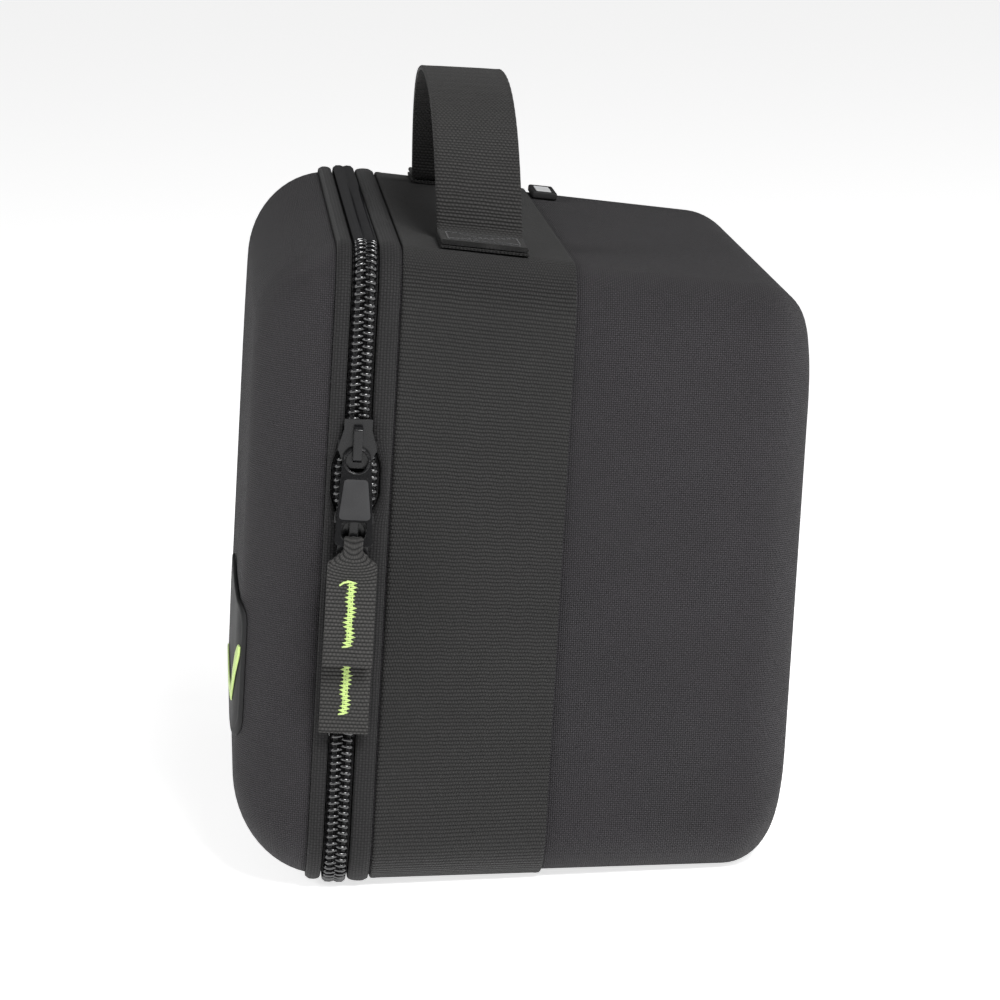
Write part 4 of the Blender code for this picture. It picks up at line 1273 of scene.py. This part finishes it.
class HARDCASE_OT_interior(PieceOperator):
    """Builds the foam pad, the net pocket and its binding"""

    bl_idname = "hardcase.interior"
    bl_label = "Foam pad and net pocket"

    def build(self):
        matrix = case_frame()
        back = matrix.inverted()
        self.foam(back)
        self.net(back)
        self.binding(back)

    def box_in_case(self, back, node):
        points = [back @ v.co for v in frame["nodes"][node].data.vertices]
        return [(min(p[i] for p in points), max(p[i] for p in points)) for i in range(3)]

    def foam(self, back):
        (left, right), (near, far), (low, high) = self.box_in_case(back, "foam_pad")
        shape, columns, rows_count = Shape(), 72, 52
        faces = []
        for r in range(rows_count + 1):
            row = []
            for c in range(columns + 1):
                u, v = c / columns, r / rows_count
                x, z = left + (right - left) * u, low + (high - low) * v
                edge = min(u * (right - left), (1 - u) * (right - left), v * (high - low), (1 - v) * (high - low))
                round_off = 1.5 * MM * max(0.0, 1 - edge / (5 * MM)) ** 2
                wave = math.sin((x - left) / (10 * MM) * math.pi) * math.sin((z - low) / (10 * MM) * math.pi)
                fade = min(1.0, edge / (8 * MM))
                row.append((x, near + round_off + (0.9 - 0.9 * wave) * MM * fade, z))
            faces.append(row)
        radius = 9 * MM
        for row in faces:
            for c, (x, y, z) in enumerate(row):
                cx, cz = min(max(x, left + radius), right - radius), min(max(z, low + radius), high - radius)
                reach = math.hypot(x - cx, z - cz)
                if reach > radius:
                    row[c] = (cx + (x - cx) * radius / reach, y, cz + (z - cz) * radius / reach)
        shape.rows(faces, lambda r, c: (c * 3 * MM, r * 3 * MM))
        rear = [[(x, far - 0.1 * MM, z) for x, _, z in row] for row in faces]
        shape.rows(rear, lambda r, c: (c * 3 * MM, r * 3 * MM))
        edge_loop = faces[0] + [row[-1] for row in faces[1:]] + faces[-1][-2::-1] + [row[0] for row in faces[-2:0:-1]]
        rear_loop = [(x, far - 0.1 * MM, z) for x, _, z in edge_loop]
        shape.rows([edge_loop, rear_loop], lambda r, c: (c * 3 * MM, r * 6 * MM), True)
        pad = shape.piece("foam_sheet", "case", FINISHES["foam"], "foam", replaces=("foam_pad",))

    def net(self, back):
        (left, right), (near, far), (low, high) = self.box_in_case(back, "mesh_pocket")
        pitch, level = webbing().net_pitch, (near + far) / 2
        work = bmesh.new()
        columns, rows_count = round((right - left) / pitch), round((high - low) / pitch)
        grid = []
        for r in range(rows_count + 1):
            row = []
            for c in range(columns + 1):
                x, z = left + (right - left) * c / columns, low + (high - low) * r / rows_count
                stagger = (0.25 * pitch if r % 2 else -0.25 * pitch) * (0 < c < columns)
                row.append(work.verts.new((x + stagger, level, z)))
            grid.append(row)
        for a, b in zip(grid, grid[1:]):
            for c in range(columns):
                work.faces.new((a[c], a[c + 1], b[c + 1], b[c]))
        bmesh.ops.wireframe(work, faces=work.faces, thickness=0.55 * MM, use_even_offset=True, use_replace=True)
        bmesh.ops.transform(work, matrix=case_frame(), verts=work.verts)
        mesh = bpy.data.meshes.new("pocket_net")
        work.to_mesh(mesh)
        work.free()
        mesh.uv_layers.new(name="cloth")
        mesh.materials.append(FINISHES["thread"])
        mesh.shade_smooth()
        made = bpy.data.objects.new("pocket_net", mesh)
        bpy.context.scene.collection.objects.link(made)
        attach(made, "lid")
        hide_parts("mesh_pocket")

    def binding(self, back):
        (left, right), (near, far), (low, high) = self.box_in_case(back, "pocket_binding")
        middle, half = (near + far) / 2, (far - near) / 2
        spots = [(-half, low + 0.4 * MM), (-half * 0.4, low), (half * 0.4, low), (half, low + 0.4 * MM)]
        spots += [(half, high - 1.2 * MM), (half * 0.5, high - 0.2 * MM), (0, high), (-half * 0.5, high - 0.2 * MM)]
        spots += [(-half, high - 1.2 * MM)]
        rows = []
        for i in range(181):
            x = left + (right - left) * i / 180
            gather = 0.18 * MM * math.sin(i * 1.3)
            puff = 0.85 + 0.1 * math.sin(i * 1.3)
            rows.append([(x, middle + y * puff, z + gather * (z > low + MM)) for y, z in spots])
        marks = [0.0]
        for a, b in zip(spots, spots[1:] + spots[:1]):
            marks.append(marks[-1] + math.dist(a, b))
        shape = Shape()
        shape.rows(rows, lambda r, c: (marks[c], r * (right - left) / 180), True, True, True)
        made = shape.piece("pocket_edge", "lid", FINISHES["tape"], "webbing", replaces=("pocket_binding",))
        crease(made, 60)


class HARDCASE_OT_stage(PieceOperator):
    """Sets up the floor, the lights and the camera"""

    bl_idname = "hardcase.stage"
    bl_label = "Stage"

    def build(self):
        self.floor()
        self.sky()
        settings = bpy.context.scene.hardcase_stage
        self.softbox("front softbox", (1.2, 0.45, 1.35), (0, 0, 0.1), 0.6, settings.front_light)
        self.softbox("side strip", (0.7, -1.2, 0.8), (0, 0, 0.1), 0.5, settings.side_light)
        self.softbox("rear strip", (0.6, 1.5, 0.9), (0, 0, 0.1), 0.8, settings.side_light)
        self.camera(settings)
        bpy.context.scene.view_settings.view_transform = "Standard"
        bpy.context.scene.view_settings.look = "None"

    def floor(self):
        shape, size = Shape(), 12.0
        rows = [[(x, y, 0.0) for x in (-size, -1, 1, size)] for y in (-size, -1, 1, size)]
        shape.rows(rows, lambda r, c: (c, r))
        mesh = bpy.data.meshes.new("floor")
        mesh.from_pydata(shape.points, [], shape.faces)
        look = Finish("floor paint", colours().floor, 0.6)
        look.shade(look.noise(40.0), 0.985, 1.0)
        look.rough(look.noise(60.0), 0.55, 0.7)
        look.shader.inputs["Emission Color"].default_value = (1, 1, 1, 1)
        look.shader.inputs["Emission Strength"].default_value = 0.72
        mesh.materials.append(look.material)
        made = bpy.data.objects.new("floor", mesh)
        bpy.context.scene.collection.objects.link(made)

    def sky(self):
        world = bpy.data.worlds.new("white surroundings")
        world.use_nodes = True
        background = world.node_tree.nodes["Background"]
        background.inputs["Color"].default_value = (1, 1, 1, 1)
        background.inputs["Strength"].default_value = bpy.context.scene.hardcase_stage.sky
        bpy.context.scene.world = world

    def softbox(self, name, place, aim, size, power):
        light = bpy.data.lights.new(name, "AREA")
        light.shape, light.size, light.energy = "SQUARE", size, power
        made = bpy.data.objects.new(name, light)
        made.location = place
        made.rotation_euler = (Vector(aim) - Vector(place)).to_track_quat("-Z", "Y").to_euler()
        bpy.context.scene.collection.objects.link(made)

    def camera(self, settings):
        lens = bpy.data.cameras.new("camera")
        lens.lens, lens.sensor_width, lens.clip_end = settings.focal, 36.0, 60.0
        made = bpy.data.objects.new("camera", lens)
        right, up = Vector(settings.right), Vector(settings.up)
        made.matrix_world = placed(Vector(settings.eye), right, up, right.cross(up))
        bpy.context.scene.collection.objects.link(made)
        bpy.context.scene.camera = made


PIECES = (
    HARDCASE_OT_finishes,
    HARDCASE_OT_shells,
    HARDCASE_OT_rims,
    HARDCASE_OT_coils,
    HARDCASE_OT_hinge,
    HARDCASE_OT_band,
    HARDCASE_OT_handle,
    HARDCASE_OT_block,
    HARDCASE_OT_sliders,
    HARDCASE_OT_pulls,
    HARDCASE_OT_tabs,
    HARDCASE_OT_badge,
    HARDCASE_OT_interior,
    HARDCASE_OT_stage,
)


class HARDCASE_PT_panel(bpy.types.Panel):
    """Lists the builders of the case"""

    bl_label = "Hard case"
    bl_idname = "HARDCASE_PT_panel"
    bl_space_type = "VIEW_3D"
    bl_region_type = "UI"
    bl_category = "Hard case"

    def draw(self, context):
        for piece in PIECES:
            self.layout.operator(piece.bl_idname)


GROUPS = {
    "hardcase_case": CaseSizes,
    "hardcase_zip": ZipSizes,
    "hardcase_webbing": WebbingSizes,
    "hardcase_colours": FinishColours,
    "hardcase_stage": StageSettings,
}


def register():
    for name, group in GROUPS.items():
        bpy.utils.register_class(group)
        setattr(bpy.types.Scene, name, PointerProperty(type=group))
    for piece in (*PIECES, HARDCASE_PT_panel):
        bpy.utils.register_class(piece)


def unregister():
    for piece in (HARDCASE_PT_panel, *reversed(PIECES)):
        bpy.utils.unregister_class(piece)
    for name, group in GROUPS.items():
        delattr(bpy.types.Scene, name)
        bpy.utils.unregister_class(group)


def main():
    register()
    for piece in PIECES:
        family, builder = piece.bl_idname.split(".")
        getattr(getattr(bpy.ops, family), builder)()


if __name__ == "__main__":
    main()
